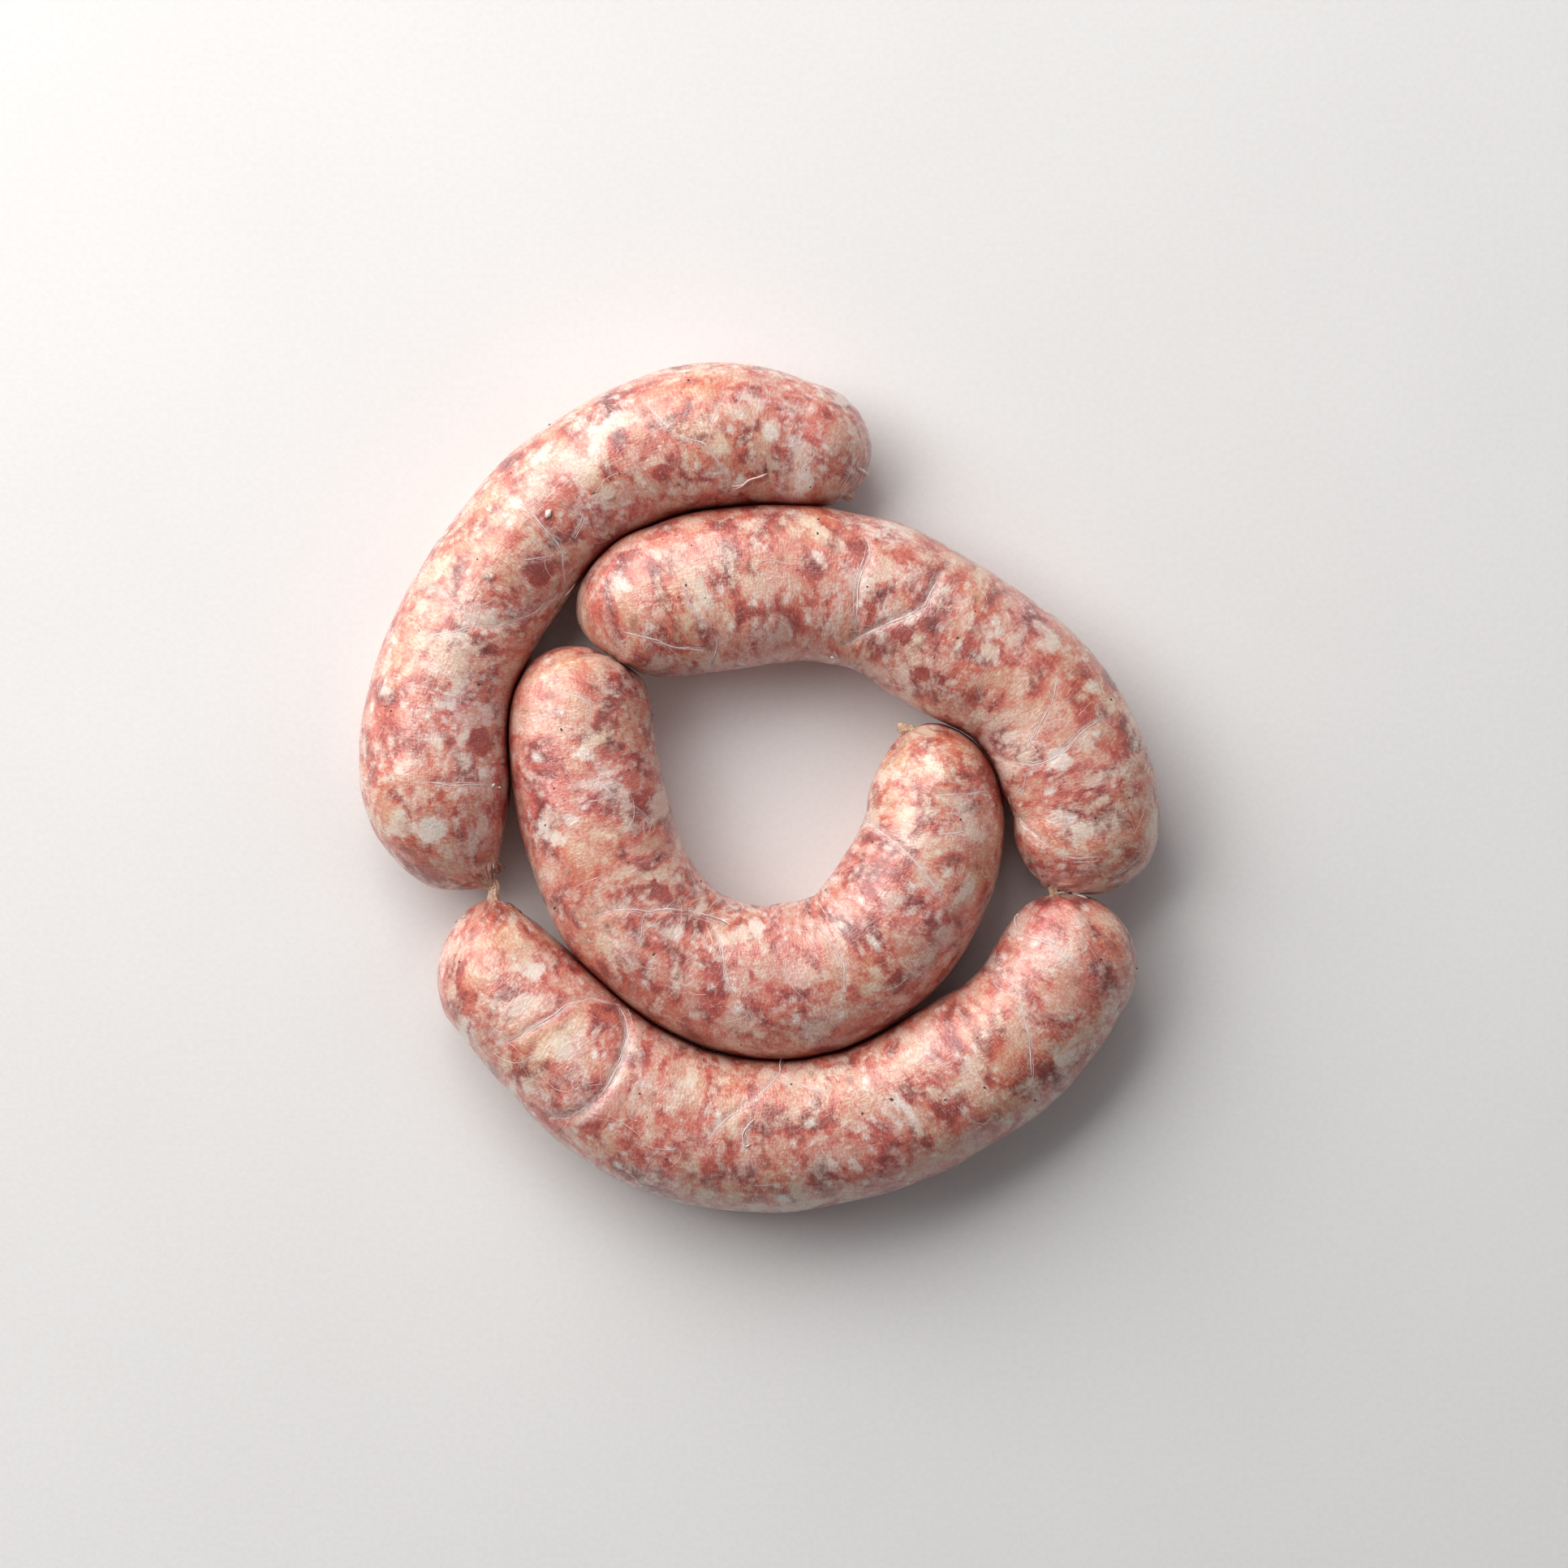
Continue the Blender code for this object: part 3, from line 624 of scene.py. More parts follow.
def press_together(links):
    """Where links touch, each gives way by half, and all are flat where they rest. Each point also keeps
    how near it is to a neighbour, the mask of painted shade in the crease between them.
    """
    trees = {name: link.tree() for name, link in links.items()}
    bounds = {
        name: (link.points.min((0, 1)) - CREASE_REACH, link.points.max((0, 1)) + CREASE_REACH)
        for name, link in links.items()
    }
    for name, link in links.items():
        flat, free, clear = link.points.reshape(-1, 3), 1 - link.tied.ravel(), link.clear.ravel()
        link.crease = np.zeros(link.points.shape[:2])
        crease = link.crease.ravel()
        least = math.exp(-CREASE_REACH / CREASE_WIDTH)
        for other, tree in trees.items():
            if other == name:
                continue
            low, high = bounds[other]
            for k in np.nonzero(np.all((flat > low) & (flat < high), axis=1))[0]:
                nearest, normal, _, _ = tree.find_nearest(Vector(flat[k]), CREASE_REACH)
                if nearest is None:
                    continue
                normal = np.array(normal)
                short = CONTACT_GAP - (flat[k] - np.array(nearest)) @ normal
                near = (math.exp(min(short, 0) / CREASE_WIDTH) - least) / (1 - least)
                crease[k] = max(crease[k], clear[k] * near)
                flat[k] += normal * free[k] * (short + math.hypot(short, PRESS_SOFTNESS * free[k])) / 4
        height = link.points[..., 2]
        over = height - LOW_TOP
        height -= TOP_SINK * (over + np.hypot(over, TOP_SOFTNESS)) / 2
        np.maximum(height, 0.0, out=height)
        link.follow_skin()


def first_morsel(name):
    """A link's first place in the count of all the morsels."""
    names = list(MORSELS)
    return sum(len(MORSELS[earlier]) for earlier in names[: names.index(name)])


def fill_with_mince(link):
    """Lays out the coarse filling: how deep each point is in fat or dark lean, and their hues."""
    at = link.filling * (1.0, GIRTH_STRETCH[link.name], GIRTH_STRETCH[link.name])
    at = shifted(shifted(at, 8.0, 2.2, 610), 2.4, 0.5, 620)
    depth = CLOUD_HEIGHT * (fractal(at, 3.5, 630) - CLOUD_LEVEL)
    tint = 0.5 + 0.6 * fractal(at, 9.0, 640, 2)
    for k, (span, share, radius) in enumerate(FAT_LUMPS):
        inside, hue = Lumps(650 + k, span, share, radius)(at + 3.0 * k)
        tint = np.where(inside > np.maximum(depth, 0), hue, tint)
        depth = np.maximum(depth, inside)
    lean = 0.62 + 0.60 * fractal(at, 4.2, 660, 2) + 0.36 * fractal(at, 2.0, 670, 2)
    dark = np.full(at.shape[:-1], -9.0)
    for k, (span, share, radius) in enumerate(DARK_LUMPS):
        inside, _ = Lumps(680 + k, span, share, radius)(at + 5.0 * k)
        dark = np.maximum(dark, inside)
    # The morsels, one of them a painted highlight laid as white fat.
    for k, (kind, radius, place) in enumerate(MORSELS[link.name], first_morsel(link.name)):
        uneven = shifted(link.points, 1.9, 1.3, 690 + 5 * k)
        inside = radius - np.linalg.norm(uneven - seen_from_above(link.skin, place)[0], axis=-1)
        near = np.clip(inside / 2 + 0.3, 0, 0.8)
        if kind in FAT_TINTS:
            depth = np.maximum(depth, inside)
            tint += (FAT_TINTS[kind] - tint) * near
        else:
            depth = np.minimum(depth, -inside)
            dark = np.minimum(dark, -inside)
            lean += (LEAN_HUES[kind] - lean) * near
    link.mince = np.stack([depth, tint, lean], axis=-1)
    link.warmth = 0.5 + 0.5 * fractal(at, 11.0, 720, 2)
    link.dark = dark


def on_skin(link, places):
    """Points, outward directions and crease at fractional (ring, segment) places."""
    ring = np.clip(places[:, 0], 0, len(link.points) - 1.001)
    low, left = ring.astype(int), np.floor(places[:, 1]).astype(int)
    up, aside = ring - low, places[:, 1] - left

    def blend(values):
        a, b = values[low, left % SEGMENTS], values[low, (left + 1) % SEGMENTS]
        c, d = values[low + 1, left % SEGMENTS], values[low + 1, (left + 1) % SEGMENTS]
        shares = ((1 - up) * (1 - aside), (1 - up) * aside, up * (1 - aside), up * aside)
        if values.ndim == 3:
            shares = [share[:, None] for share in shares]
        return sum(share * value for share, value in zip(shares, (a, b, c, d)))

    return blend(link.points), unit(blend(link.out)), blend(link.crease)


# ---------------- small things on the casing


class Heap:
    """Many small shapes of one kind, joined in one mesh."""

    def __init__(self):
        self.corners = []
        self.faces = []

    def add(self, corners, faces):
        start = len(self.corners)
        self.corners.extend(corners)
        self.faces.extend(tuple(k + start for k in face) for face in faces)

    def piece(self, name, material, slot):
        made = new_mesh(name, self.corners, self.faces, material)
        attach(made, "root")


def add_strand(heap, points, out, width, lift=0.02, flat=0.6, sides=6):
    """A thread along points on the skin, thin at both ends."""
    forward = unit(np.gradient(points, axis=0))
    aside = unit(np.cross(out, forward))
    share = np.linspace(0, 1, len(points))
    radius = width / 2 * np.clip(np.minimum(share, 1 - share) * 7, 0.12, 1) ** 0.6
    centre = points + out * lift
    turn = np.arange(sides) * 2 * math.pi / sides
    rings = centre[:, None] + radius[:, None, None] * (
        np.cos(turn)[:, None] * aside[:, None] + flat * np.sin(turn)[:, None] * out[:, None]
    )
    heap.add([*rings.reshape(-1, 3), centre[0], centre[-1]], ring_faces(len(points), sides))


def beside(points, rng, far, span):
    """The same line moved sideways by a smooth random amount."""
    points = np.array(points, float)
    forward = unit(np.gradient(points, axis=0))
    aside = np.column_stack([-forward[:, 1], forward[:, 0]])
    return points + aside * (far + rng.normal(0, span, len(points)))[:, None]


def seam_threads(links):
    """The fibres of casing along each seam, which sink into the skin and come up again."""
    heap = Heap()
    rng = np.random.default_rng(71)
    seams = [(links[name].skin, *seam) for name, group in SEAMS.items() for seam in group]
    for skin, depth, width, points in seams:
        points = np.array(points, float)
        count = len(points)
        length = np.linalg.norm(np.diff(points, axis=0), axis=1).sum()
        strands = [(0.0, count - 1.0, 0.0, 0.8 * width)]
        for _ in range(int((3 + 9 * depth) * (0.5 + length / 25))):
            first = rng.uniform(0, count - 1.5)
            last = min(first + rng.uniform(0.8, 3.0), count - 1)
            away = rng.normal(0, 0.30 + 0.30 * depth)
            strands.append((first, last, away, rng.uniform(*STRAND_WIDTH)))
        for first, last, away, breadth in strands:
            place = np.linspace(first, last, max(4, int(2 * (last - first))))
            part = np.column_stack([np.interp(place, range(count), column) for column in points.T])
            line, out = laid(skin, beside(part, rng, away, 0.12))
            waves = rng.uniform(-0.42, 0.20, 7)
            sink = breadth * np.interp(np.linspace(0, 1, len(line)), np.linspace(0, 1, 7), waves)
            add_strand(heap, line + out * sink[:, None], out, breadth)
        for _ in range(int(length * (0.10 + 0.22 * depth))):
            k = rng.integers(count - 1)
            along = points[k + 1] - points[k]
            start = points[k] + along * rng.uniform()
            angle = math.atan2(along[1], along[0]) + rng.choice((-1, 1)) * rng.uniform(0.2, 0.9)
            bend = rng.normal(0, 0.25)
            reach = rng.uniform(2.0, 6.0)
            turns = [(t, angle + bend * t) for t in (0, 0.35, 0.7, 1)]
            steps = [start + reach * t * np.array([math.cos(a), math.sin(a)]) for t, a in turns]
            add_strand(heap, *laid(skin, steps), rng.uniform(0.06, 0.12), lift=0.0)
    return heap


def fine_fibres(links):
    """Hair-fine fibres of the casing, all over the links."""
    heap = Heap()
    rng = np.random.default_rng(72)
    for link in links.values():
        rings = len(link.points)
        for _ in range(FINE_FIBRES):
            place = np.array([rng.uniform(10, rings - 10), rng.uniform(0, SEGMENTS)])
            heading = rng.choice((0.0, math.pi / 2)) + rng.normal(0, 0.55)
            bend = rng.normal(0, 0.07)
            places = []
            for _ in range(rng.integers(5, 18)):
                places.append(place.copy())
                place[0] += FIBRE_STEP * math.cos(heading) / SPACING
                place[1] += FIBRE_STEP * math.sin(heading) * SEGMENTS / MEAN_GIRTH
                heading += bend + rng.normal(0, 0.10)
            points, out, crease = on_skin(link, np.array(places))
            inside = all(6 < end[0] < rings - 6 for end in (places[0], places[-1]))
            if crease.max() < MOST_CREASE and points[:, 2].min() > 0.6 and inside:
                add_strand(heap, points, out, rng.uniform(*FIBRE_WIDTH), lift=0.01, sides=5)
    return heap


def add_crumb(heap, rng, place, out, size, stretch, sink):
    """An angular grain, sunk a little into the skin."""
    made = bmesh.new()
    bmesh.ops.create_icosphere(made, subdivisions=1, radius=1.0)
    aside = unit(np.cross(out, rng.normal(size=(2, 3))[0]))
    frame = np.array([aside, np.cross(out, aside), out])
    corners = np.array([v.co for v in made.verts])
    corners *= 1 + rng.uniform(-0.28, 0.28, (len(corners), 1))
    corners = (corners * stretch * size) @ frame + place + out * size * stretch[2] * (1 - 2 * sink)
    heap.add(list(corners), [tuple(v.index for v in f.verts) for f in made.faces])
    made.free()


def topmost(links, place):
    """Where the line of sight through a place first meets a link, and the normal there."""
    hits = [link.skin.ray_cast(*sight(place)) for link in links.values()]
    place, out, _, _ = min((hit for hit in hits if hit[0] is not None), key=lambda hit: hit[3])
    return np.array(place), np.array(out)


def grains(links, seed, known, more, sizes, stretch, sink):
    """Grains at known places seen from above, and more of them anywhere."""
    heap = Heap()
    rng = np.random.default_rng(seed)
    for place in known:
        add_crumb(heap, rng, *topmost(links, place), rng.uniform(*sizes), stretch, sink)
    for link in links.values():
        for _ in range(more):
            at = np.array([[rng.uniform(12, len(link.points) - 12), rng.uniform(0, SEGMENTS)]])
            points, out, crease = on_skin(link, at)
            if crease[0] < MOST_CREASE and points[0, 2] > 1:
                add_crumb(heap, rng, points[0], out[0], rng.uniform(*sizes), stretch, sink)
    return heap


def casing_tube(path, radii, flat, seed, pleats=7, pleat=0.16, twist=3.0, ragged=0.0):
    """Empty casing gathered to a neck or a tail: a pleated tube along a path."""
    rng = np.random.default_rng(seed)
    curve = smooth_through(path, 200)
    heading = np.gradient(curve, axis=0)
    share = np.linspace(0, 1, 200)
    turn = np.arange(TUBE_SIDES) * 2 * math.pi / TUBE_SIDES
    short = 1 - ragged * np.interp(turn, np.linspace(0, 2 * math.pi, 12), rng.uniform(0, 1, 12))
    phase = rng.uniform(0, 2 * math.pi)
    corners = []
    for t in np.linspace(0, 1, TUBE_RINGS):
        reach = t * (1 + (short - 1) * t)
        centre = np.column_stack([np.interp(reach, share, c) for c in curve.T])
        forward = unit(np.column_stack([np.interp(reach, share, c) for c in heading.T]))
        aside = unit(np.cross(UP, forward))
        over = np.cross(forward, aside)
        radius = np.interp(t, np.linspace(0, 1, len(radii)), radii)
        folds = np.cos(pleats * turn + twist * t + phase) + 0.5 * np.cos(3 * turn - 2 * t)
        radius *= 1 + pleat * folds
        height = np.interp(t, np.linspace(0, 1, len(flat)), flat)
        across, upward = radius * np.cos(turn), radius * height * np.sin(turn)
        corners.extend(centre + across[:, None] * aside + upward[:, None] * over)
    corners += [np.mean(corners[:TUBE_SIDES], axis=0), np.mean(corners[-TUBE_SIDES:], axis=0)]
    return corners, ring_faces(TUBE_RINGS, TUBE_SIDES)


def gathered_casing(links, material):
    """The necks between links and the two loose ends, in place of their solids."""
    ends = {(name, side): link.tie(side) for name, link in links.items() for side in (-1, 1)}
    for seed, (node, (before, after)) in enumerate(NECKS.items()):
        (first, leaving), (last, coming) = ends[before], ends[after]
        middle = (first + last) / 2 + NECK_RISE * UP
        path = (first - ROOT * leaving, first, middle, last, last - ROOT * coming)
        tube = casing_tube(path, NECK_RADII, (1, 1), 80 + seed)
        dress(new_mesh(node + "_neck", *tube, material), node)
    for seed, (node, (owner, radii, flat, steps)) in enumerate(TAILS.items()):
        place, leaving = ends[owner]
        path = [place - ROOT * leaving, place, *(place + np.array(step) for step in steps)]
        tube = casing_tube(path, radii, flat, 90 + seed, pleats=5, pleat=0.2, twist=2.0, ragged=0.28)
        dress(new_mesh(node + "_tail", *tube, material), node)


def dress(piece, node):
    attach(piece, "root")
    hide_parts(node)


def new_mesh(name, corners, faces, material):
    mesh = bpy.data.meshes.new(name)
    mesh.from_pydata((np.asarray(corners) * MM).tolist(), [], faces)
    mesh.materials.append(material)
    mesh.shade_smooth()
    mesh.update()
    made = bpy.data.objects.new(name, mesh)
    bpy.context.scene.collection.objects.link(made)
    return made


def keep_values(mesh, name, values):
    """Stores one vector or number for each vertex, for the materials."""
    values = np.asarray(values, np.float32)
    if values.ndim == 2:
        mesh.attributes.new(name, "FLOAT_VECTOR", "POINT").data.foreach_set("vector", values.ravel())
    else:
        mesh.attributes.new(name, "FLOAT", "POINT").data.foreach_set("value", values)


def link_piece(link, material):
    piece = new_mesh(link.name + "_filled", link.corners(), link.faces(), material)
    for name in ("filling", "mince", "dark", "warmth", "veil", "tied", "crease"):
        values = getattr(link, name)
        flat = values.reshape(-1, *values.shape[2:])
        keep_values(piece.data, name, np.concatenate([flat, values[[0, -1]].mean(axis=1)]))
    dress(piece, link.name)


# ---------------- materials


class Graph:
    """Shorthand for building a material's nodes."""

    def __init__(self, name):
        self.material = bpy.data.materials.new(name)
        self.material.use_nodes = True
        self.tree = self.material.node_tree
        self.shader = self.tree.nodes["Principled BSDF"]

    def put(self, socket, value):
        if isinstance(value, bpy.types.NodeSocket):
            self.tree.links.new(value, socket)
        else:
            socket.default_value = value

    def node(self, kind, inputs, **settings):
        made = self.tree.nodes.new(kind)
        for key, value in settings.items():
            setattr(made, key, value)
        for key, value in inputs.items():
            self.put(made.inputs[key], value)
        return made

    def attribute(self, name, output="Vector"):
        return self.node("ShaderNodeAttribute", {}, attribute_name=name).outputs[output]

    def noise(self, at, span, detail=2.0, rough=0.5):
        inputs = {"Vector": at, "Scale": 1 / span, "Detail": detail, "Roughness": rough}
        return self.node("ShaderNodeTexNoise", inputs).outputs[0]

    def stretched(self, at, amounts):
        return self.node("ShaderNodeVectorMath", {0: at, 1: amounts}, operation="MULTIPLY").outputs[0]

    def place(self):
        """The place of each point in millimetres."""
        metres = self.node("ShaderNodeNewGeometry", {}).outputs["Position"]
        return self.stretched(metres, (1 / MM, 1 / MM, 1 / MM))

    def math(self, operation, a, b=0.0, c=0.0):
        return self.node("ShaderNodeMath", {0: a, 1: b, 2: c}, operation=operation).outputs[0]

    def rise(self, value, low, high, least=0.0, most=1.0):
        """Goes smoothly from least to most as the value goes from low to high."""
        inputs = {"Value": value, "From Min": low, "From Max": high, "To Min": least, "To Max": most}
        return self.node("ShaderNodeMapRange", inputs, interpolation_type="SMOOTHSTEP").outputs[0]

    def ramp(self, value, *stops):
        made = self.node("ShaderNodeValToRGB", {0: value})
        elements = made.color_ramp.elements
        while len(elements) < len(stops):
            elements.new(0.5)
        for element, (place, colour) in zip(elements, stops):
            element.position = place
            element.color = (*colour, 1.0)
        return made.outputs[0]

    def mix(self, share, a, b, blend="MIX"):
        a, b = ((*v, 1.0) if isinstance(v, tuple) else v for v in (a, b))
        made = self.node("ShaderNodeMix", {0: share, 6: a, 7: b}, data_type="RGBA", blend_type=blend)
        return made.outputs[2]

    def bump(self, height, distance):
        inputs = {"Height": height, "Distance": distance * MM, "Strength": 1.0}
        return self.node("ShaderNodeBump", inputs).outputs[0]

    def finish(self, **inputs):
        for key, value in inputs.items():
            self.put(self.shader.inputs[key.replace("_", " ")], value)
        return self.material


# Colours under the casing, and the painted shade in the creases between links
DARK_LEAN = (0.190, 0.034, 0.028)
MAUVE_LEAN = (0.330, 0.088, 0.078)
WINE_LEAN = (0.440, 0.108, 0.088)
RED_LEAN = (0.580, 0.145, 0.112)
CORAL_LEAN = (0.700, 0.232, 0.168)
SALMON_LEAN = (0.720, 0.325, 0.236)
TAN_LEAN = (0.735, 0.415, 0.300)
PINK_FAT = (0.780, 0.480, 0.390)
CREAM_FAT = (0.830, 0.630, 0.510)
WHITE_FAT = (0.900, 0.810, 0.740)
VEIL = (0.860, 0.680, 0.640)
TIED_CASING = (0.740, 0.500, 0.370)
# Painted shade: darkens the meat towards a neighbouring link, in the crease between them.
CREASE_SHADE = (0.500, 0.230, 0.180)
LAVENDER_CAST = (0.500, 0.468, 0.515)
PEACH_CAST = (0.530, 0.492, 0.425)
NO_CAST = (0.500, 0.500, 0.500)
DARK_SHRED = (0.360, 0.320, 0.320)
PALE_SHRED = (0.660, 0.680, 0.690)
# Painted shade: the near-black red of the narrowest part of a crease between links.
CREASE_SHADE_RED = (0.200, 0.022, 0.015)

AMBER_CASING = (0.560, 0.300, 0.170)
TAN_CASING = (0.720, 0.480, 0.320)
PALE_CASING = (0.850, 0.700, 0.560)
ROSY_THREAD = (0.760, 0.490, 0.430)
PINK_THREAD = (0.850, 0.650, 0.600)
WHITE_THREAD = (0.920, 0.820, 0.780)

# The darkest and the lightest of each kind of grain
CRUMB_TONES = ((0.880, 0.740, 0.650), (0.950, 0.880, 0.820))
PEPPER_TONES = ((0.020, 0.012, 0.010), (0.120, 0.055, 0.035))
HERB_TONES = ((0.075, 0.065, 0.022), (0.210, 0.190, 0.075))


def meat_material():
    g = Graph("sausage_meat")
    at = g.attribute("filling")
    depth, tint, hue = g.node("ShaderNodeSeparateXYZ", {0: g.attribute("mince")}).outputs
    grain = g.math("SUBTRACT", g.noise(at, 1.1, 3.0, 0.62), 0.5)
    shred = g.math("SUBTRACT", g.noise(g.stretched(at, (1.0, 0.45, 0.45)), 0.42, 2.0, 0.6), 0.5)
    ragged = g.math("MULTIPLY_ADD", grain, 1.4, g.math("MULTIPLY", shred, 0.5))

    lean = g.ramp(
        g.math("MULTIPLY_ADD", ragged, 0.22, hue),
        (0.04, DARK_LEAN), (0.22, MAUVE_LEAN), (0.38, WINE_LEAN), (0.52, RED_LEAN), (0.66, CORAL_LEAN),
        (0.80, SALMON_LEAN), (0.94, TAN_LEAN),
    )
    dark = g.rise(g.math("MULTIPLY_ADD", ragged, 0.7, g.attribute("dark", "Fac")), -0.5, 0.6)
    lean = g.mix(g.math("MULTIPLY", dark, 0.62), lean, MAUVE_LEAN)
    tint = g.math("MULTIPLY_ADD", ragged, 0.12, tint)
    fat = g.ramp(tint, (0.10, PINK_FAT), (0.45, CREAM_FAT), (0.90, WHITE_FAT))
    lump = g.rise(g.math("ADD", ragged, depth), -0.75, 0.75)
    colour = g.mix(g.math("MULTIPLY", lump, 0.90), lean, fat)
    warmth = g.attribute("warmth", "Fac")
    cast = g.ramp(warmth, (0.20, LAVENDER_CAST), (0.50, NO_CAST), (0.80, PEACH_CAST))
    colour = g.mix(0.8, colour, cast, "OVERLAY")

    shade = g.ramp(shred, (0.0, DARK_SHRED), (0.0, NO_CAST), (0.2, PALE_SHRED))
    colour = g.mix(0.5, colour, shade, "OVERLAY")

    line = g.math("ABSOLUTE", g.math("SUBTRACT", g.noise(at, 5.0, 1.5), 0.5))
    thread = g.rise(line, 0.0, 0.007, 1.0, 0.0)
    seam = g.math("MULTIPLY", g.attribute("veil", "Fac"), g.rise(shred, -0.15, 0.15, 0.25, 1.0))
    veil = g.math("MAXIMUM", seam, g.math("MULTIPLY", thread, g.rise(shred, -0.05, 0.12)))
    colour = g.mix(g.math("MULTIPLY", veil, 0.55), colour, VEIL)

    tied = g.math("MULTIPLY", g.attribute("tied", "Fac"), g.rise(shred, -0.12, 0.12, 0.35, 0.9))
    colour = g.mix(tied, colour, TIED_CASING)
    # Painted shade in the creases between touching links: the colour is darkened towards each neighbour
    # and turns dark red-black where they meet.
    crease = g.attribute("crease", "Fac")
    colour = g.mix(crease, colour, CREASE_SHADE, "MULTIPLY")
    colour = g.mix(g.math("MULTIPLY", g.math("POWER", crease, 4.0), 0.80), colour, CREASE_SHADE_RED)

    lengthways = g.noise(g.stretched(at, (0.35, 1.0, 1.0)), 0.55, 2.0, 0.6)
    crossways = g.noise(g.stretched(at, (1.0, 0.45, 0.45)), 0.60, 2.0, 0.6)
    wrinkles = g.math("ADD", lengthways, crossways)
    normal = g.bump(g.math("MULTIPLY_ADD", thread, 0.3, wrinkles), 0.12)
    rough = g.rise(wrinkles, 0.7, 1.3, 0.36, 0.50)
    return g.finish(
        Base_Color=colour, Roughness=rough, Normal=normal, Coat_Normal=normal,
        Subsurface_Weight=0.35, Subsurface_Scale=1.2 * MM, Subsurface_Radius=(1.0, 0.5, 0.35),
        Coat_Weight=1.0, Coat_Roughness=0.23, IOR=1.42, Coat_IOR=1.5,
    )


def casing_material():
    """Empty casing, dry and amber where it is gathered."""
    g = Graph("gathered_casing")
    streak = g.noise(g.place(), 0.5, 3.0, 0.6)
    colour = g.ramp(streak, (0.35, AMBER_CASING), (0.50, TAN_CASING), (0.66, PALE_CASING))
    return g.finish(
        Base_Color=colour, Roughness=g.rise(streak, 0.3, 0.7, 0.30, 0.50), Normal=g.bump(streak, 0.08),
        Subsurface_Weight=0.3, Subsurface_Scale=0.8 * MM, Subsurface_Radius=(1.0, 0.6, 0.4),
        Coat_Weight=0.5, Coat_Roughness=0.25, IOR=1.42,
    )


def thread_material():
    """Thin white fibres of the casing, wet, with the meat's pink in them."""
    g = Graph("casing_thread")
    tone = g.noise(g.place(), 2.5)
    colour = g.ramp(tone, (0.35, ROSY_THREAD), (0.50, PINK_THREAD), (0.65, WHITE_THREAD))
    return g.finish(
        Base_Color=colour, Roughness=g.rise(tone, 0.3, 0.7, 0.28, 0.42),
        Coat_Weight=0.6, Coat_Roughness=0.2, IOR=1.42,
    )


def grain_material(name, tones, span):
    g = Graph(name)
    tone = g.noise(g.place(), span)
    rough = g.rise(tone, 0.3, 0.7, 0.35, 0.6)
    colour = g.ramp(tone, *zip((0.35, 0.65), tones))
    return g.finish(Base_Color=colour, Roughness=rough, Coat_Weight=0.4, Coat_Roughness=0.2)


# ---------------- the setting


FLOOR_REACH = 1500.0
FLOOR_TONE = 0.82


def floor_piece():
    g = Graph("stone_floor")
    at = g.place()
    grain = g.noise(at, 1.2, 3.0, 0.7)
    cloud = g.math("MULTIPLY_ADD", g.noise(at, 60.0, 3.0), 0.05, FLOOR_TONE)
    tone = g.math("MULTIPLY_ADD", g.math("SUBTRACT", grain, 0.5), 0.10, cloud)
    warm = {k: g.math("MULTIPLY", tone, share) for k, share in enumerate((1.0, 0.985, 0.975))}
    colour = g.node("ShaderNodeCombineColor", warm).outputs[0]
    g.finish(Base_Color=colour, Roughness=0.6, Normal=g.bump(grain, 0.05))
    corners = [(x * FLOOR_REACH, y * FLOOR_REACH, 0) for x, y in ((-1, -1), (1, -1), (1, 1), (-1, 1))]
    floor = new_mesh("floor", corners, [(0, 1, 2, 3)], g.material)


def lamp(name, place, aim, size, power, colour):
    """A square lamp, its place, aim and size in metres."""
    data = bpy.data.lights.new(name, "AREA")
    data.shape = "SQUARE"
    data.size = size
    data.energy = power
    data.color = colour
    made = bpy.data.objects.new(name, data)
    made.location = place
    made.visible_camera = False
    made.rotation_euler = (Vector(aim) - Vector(place)).to_track_quat("-Z", "Y").to_euler()
    bpy.context.scene.collection.objects.link(made)


# Soft light from three sides, low enough to leave narrow gaps dark: (name, place, power)
FILL_LIGHTS = (
    ("fill_far", (0.1, 0.95, 1.15), 2.2),
    ("fill_left", (-0.95, 0.1, 1.15), 1.8),
    ("fill_right", (0.95, 0.1, 1.15), 1.7),
)


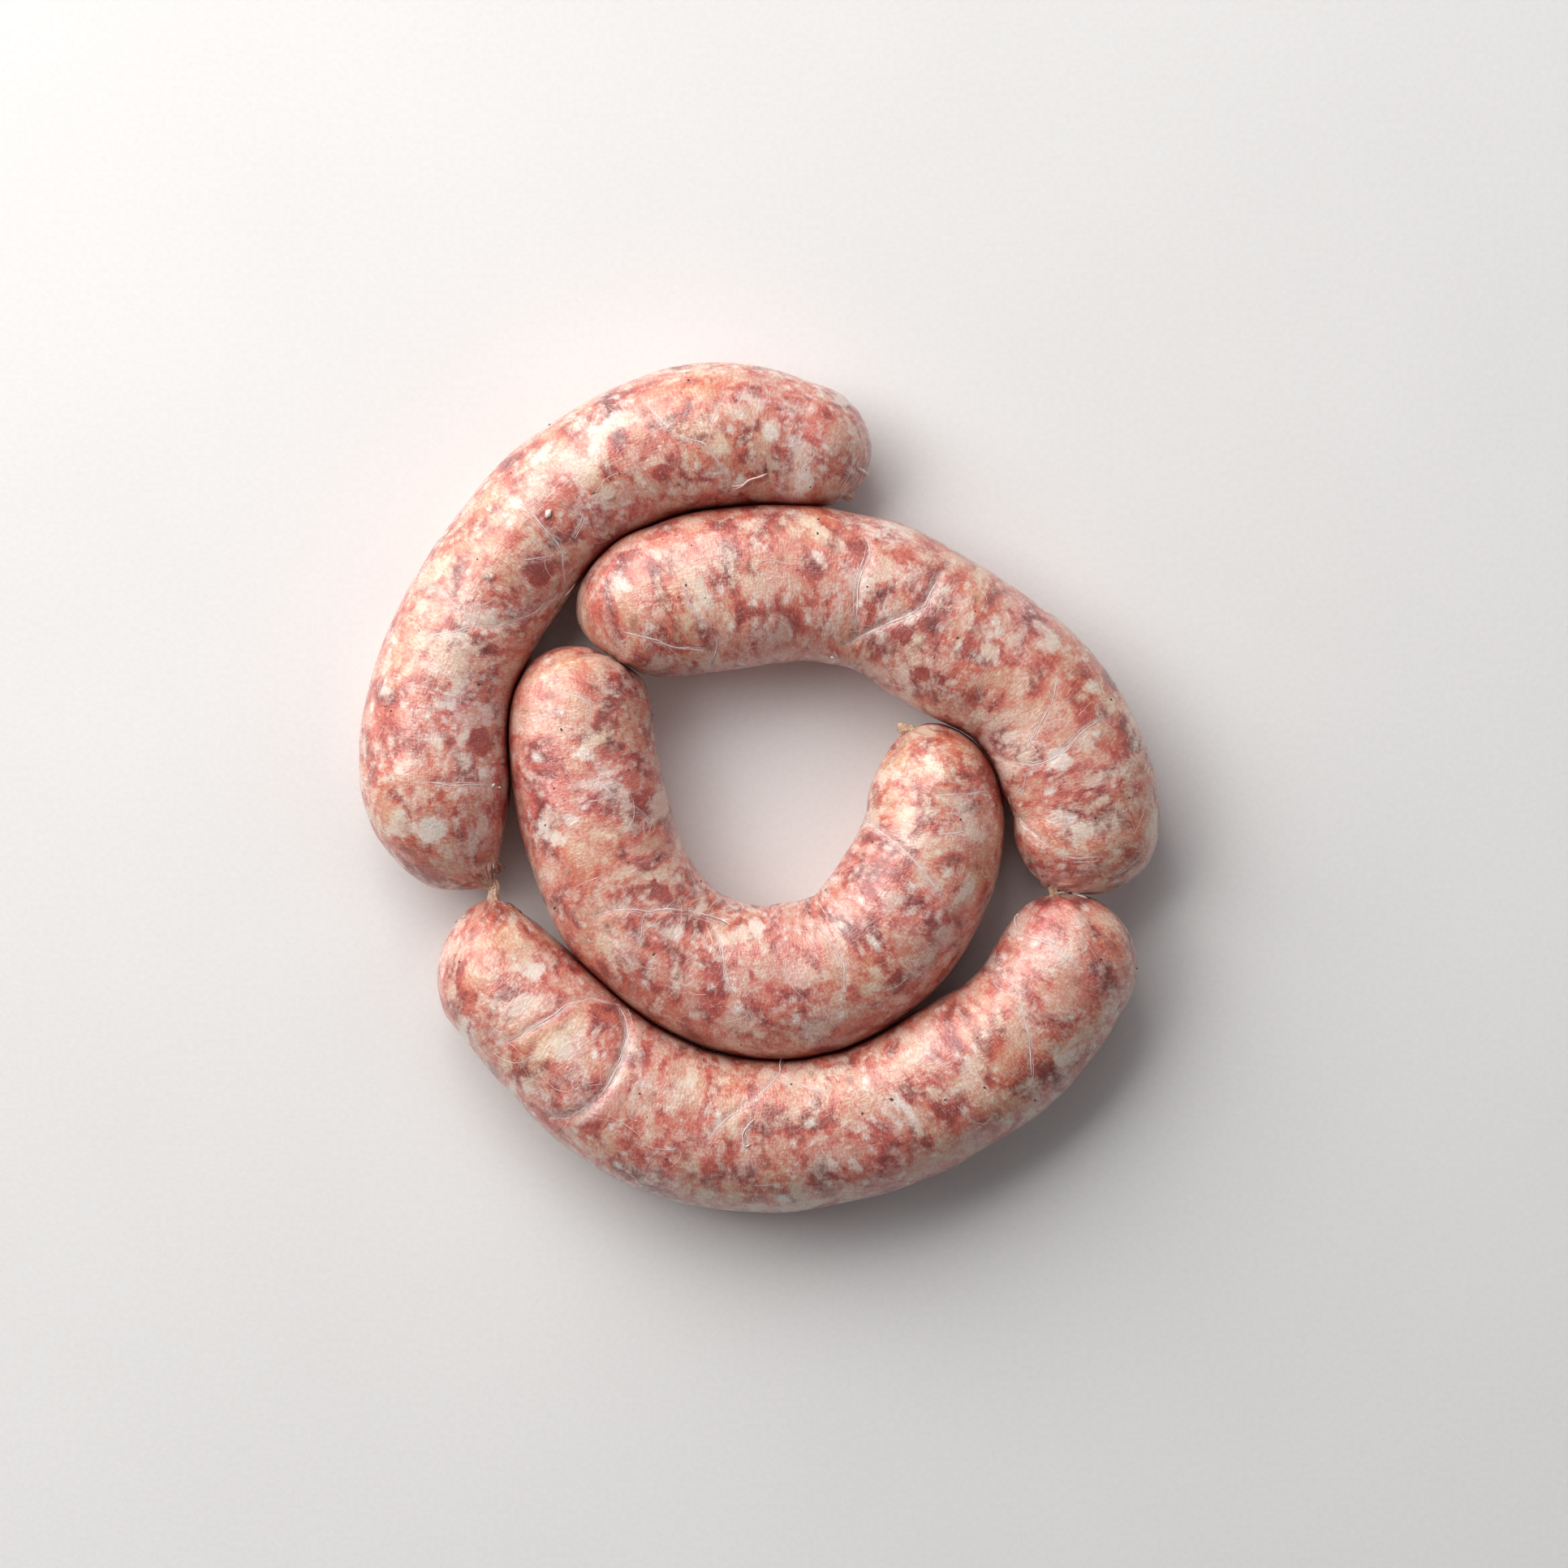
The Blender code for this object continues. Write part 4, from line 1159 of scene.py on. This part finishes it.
def light_and_camera():
    scene = bpy.context.scene
    scene.view_settings.view_transform = "Standard"
    world = bpy.data.worlds.new("studio")
    world.use_nodes = True
    sky = world.node_tree.nodes["Background"].inputs
    sky["Color"].default_value = (0.93, 0.96, 1.0, 1.0)
    sky["Strength"].default_value = 0.08
    scene.world = world
    lamp("key_light", (-0.72, 0.76, 0.80), (0.0, 0.0, 0.015), 1.50, 28.0, (1.0, 0.98, 0.96))
    for name, place, power in FILL_LIGHTS:
        lamp(name, place, (0.0, 0.0, 0.0), 0.8, power, (0.96, 0.98, 1.0))
    data = bpy.data.cameras.new("camera")
    data.sensor_width = SENSOR
    data.lens = SENSOR * (CAMERA_AT[2] - VIEW_HEIGHT) / VIEW_WIDTH
    data.clip_end = 20.0
    camera = bpy.data.objects.new("camera", data)
    camera.location = CAMERA_AT * MM
    scene.collection.objects.link(camera)
    scene.camera = camera


def build():
    links = {name: Link(name, order) for order, name in enumerate(LINKS)}
    for link in links.values():
        swell_unevenly(link)
    draw_in_seams(links)
    press_together(links)
    meat = meat_material()
    for link in links.values():
        link.out, link.skin = link.normals(), link.tree()
        fill_with_mince(link)
        link_piece(link, meat)
    gathered_casing(links, casing_material())
    thread = thread_material()
    seam_threads(links).piece("seam_threads", thread, "empty_casing")
    fine_fibres(links).piece("fine_fibres", thread, "empty_casing")
    loose = Heap()
    for owner, width, points in LOOSE_THREADS:
        add_strand(loose, *laid(links[owner].skin, points, 0.2), width, flat=0.8, sides=8)
    loose.piece("loose_threads", thread, "empty_casing")
    crumbs = Heap()
    rng = np.random.default_rng(75)
    for owner, size, stretch, place in CRUMBS:
        at = seen_from_above(links[owner].skin, place)
        add_crumb(crumbs, rng, *at, size, (1.0, stretch, CRUMB_HEIGHT), CRUMB_SINK)
    crumbs.piece("fat_crumbs", grain_material("fat_crumb", CRUMB_TONES, 0.9), "raw_sausage")
    pepper = grains(links, 73, PEPPER, MORE_PEPPER, PEPPER_SIZE, PEPPER_FORM, PEPPER_SINK)
    pepper.piece("pepper_grains", grain_material("pepper", PEPPER_TONES, 0.3), "raw_sausage")
    herbs = grains(links, 74, HERBS, MORE_HERBS, HERB_SIZE, HERB_FORM, HERB_SINK)
    herbs.piece("herb_flakes", grain_material("dried_herb", HERB_TONES, 0.4), "raw_sausage")
    floor_piece()
    light_and_camera()


build()
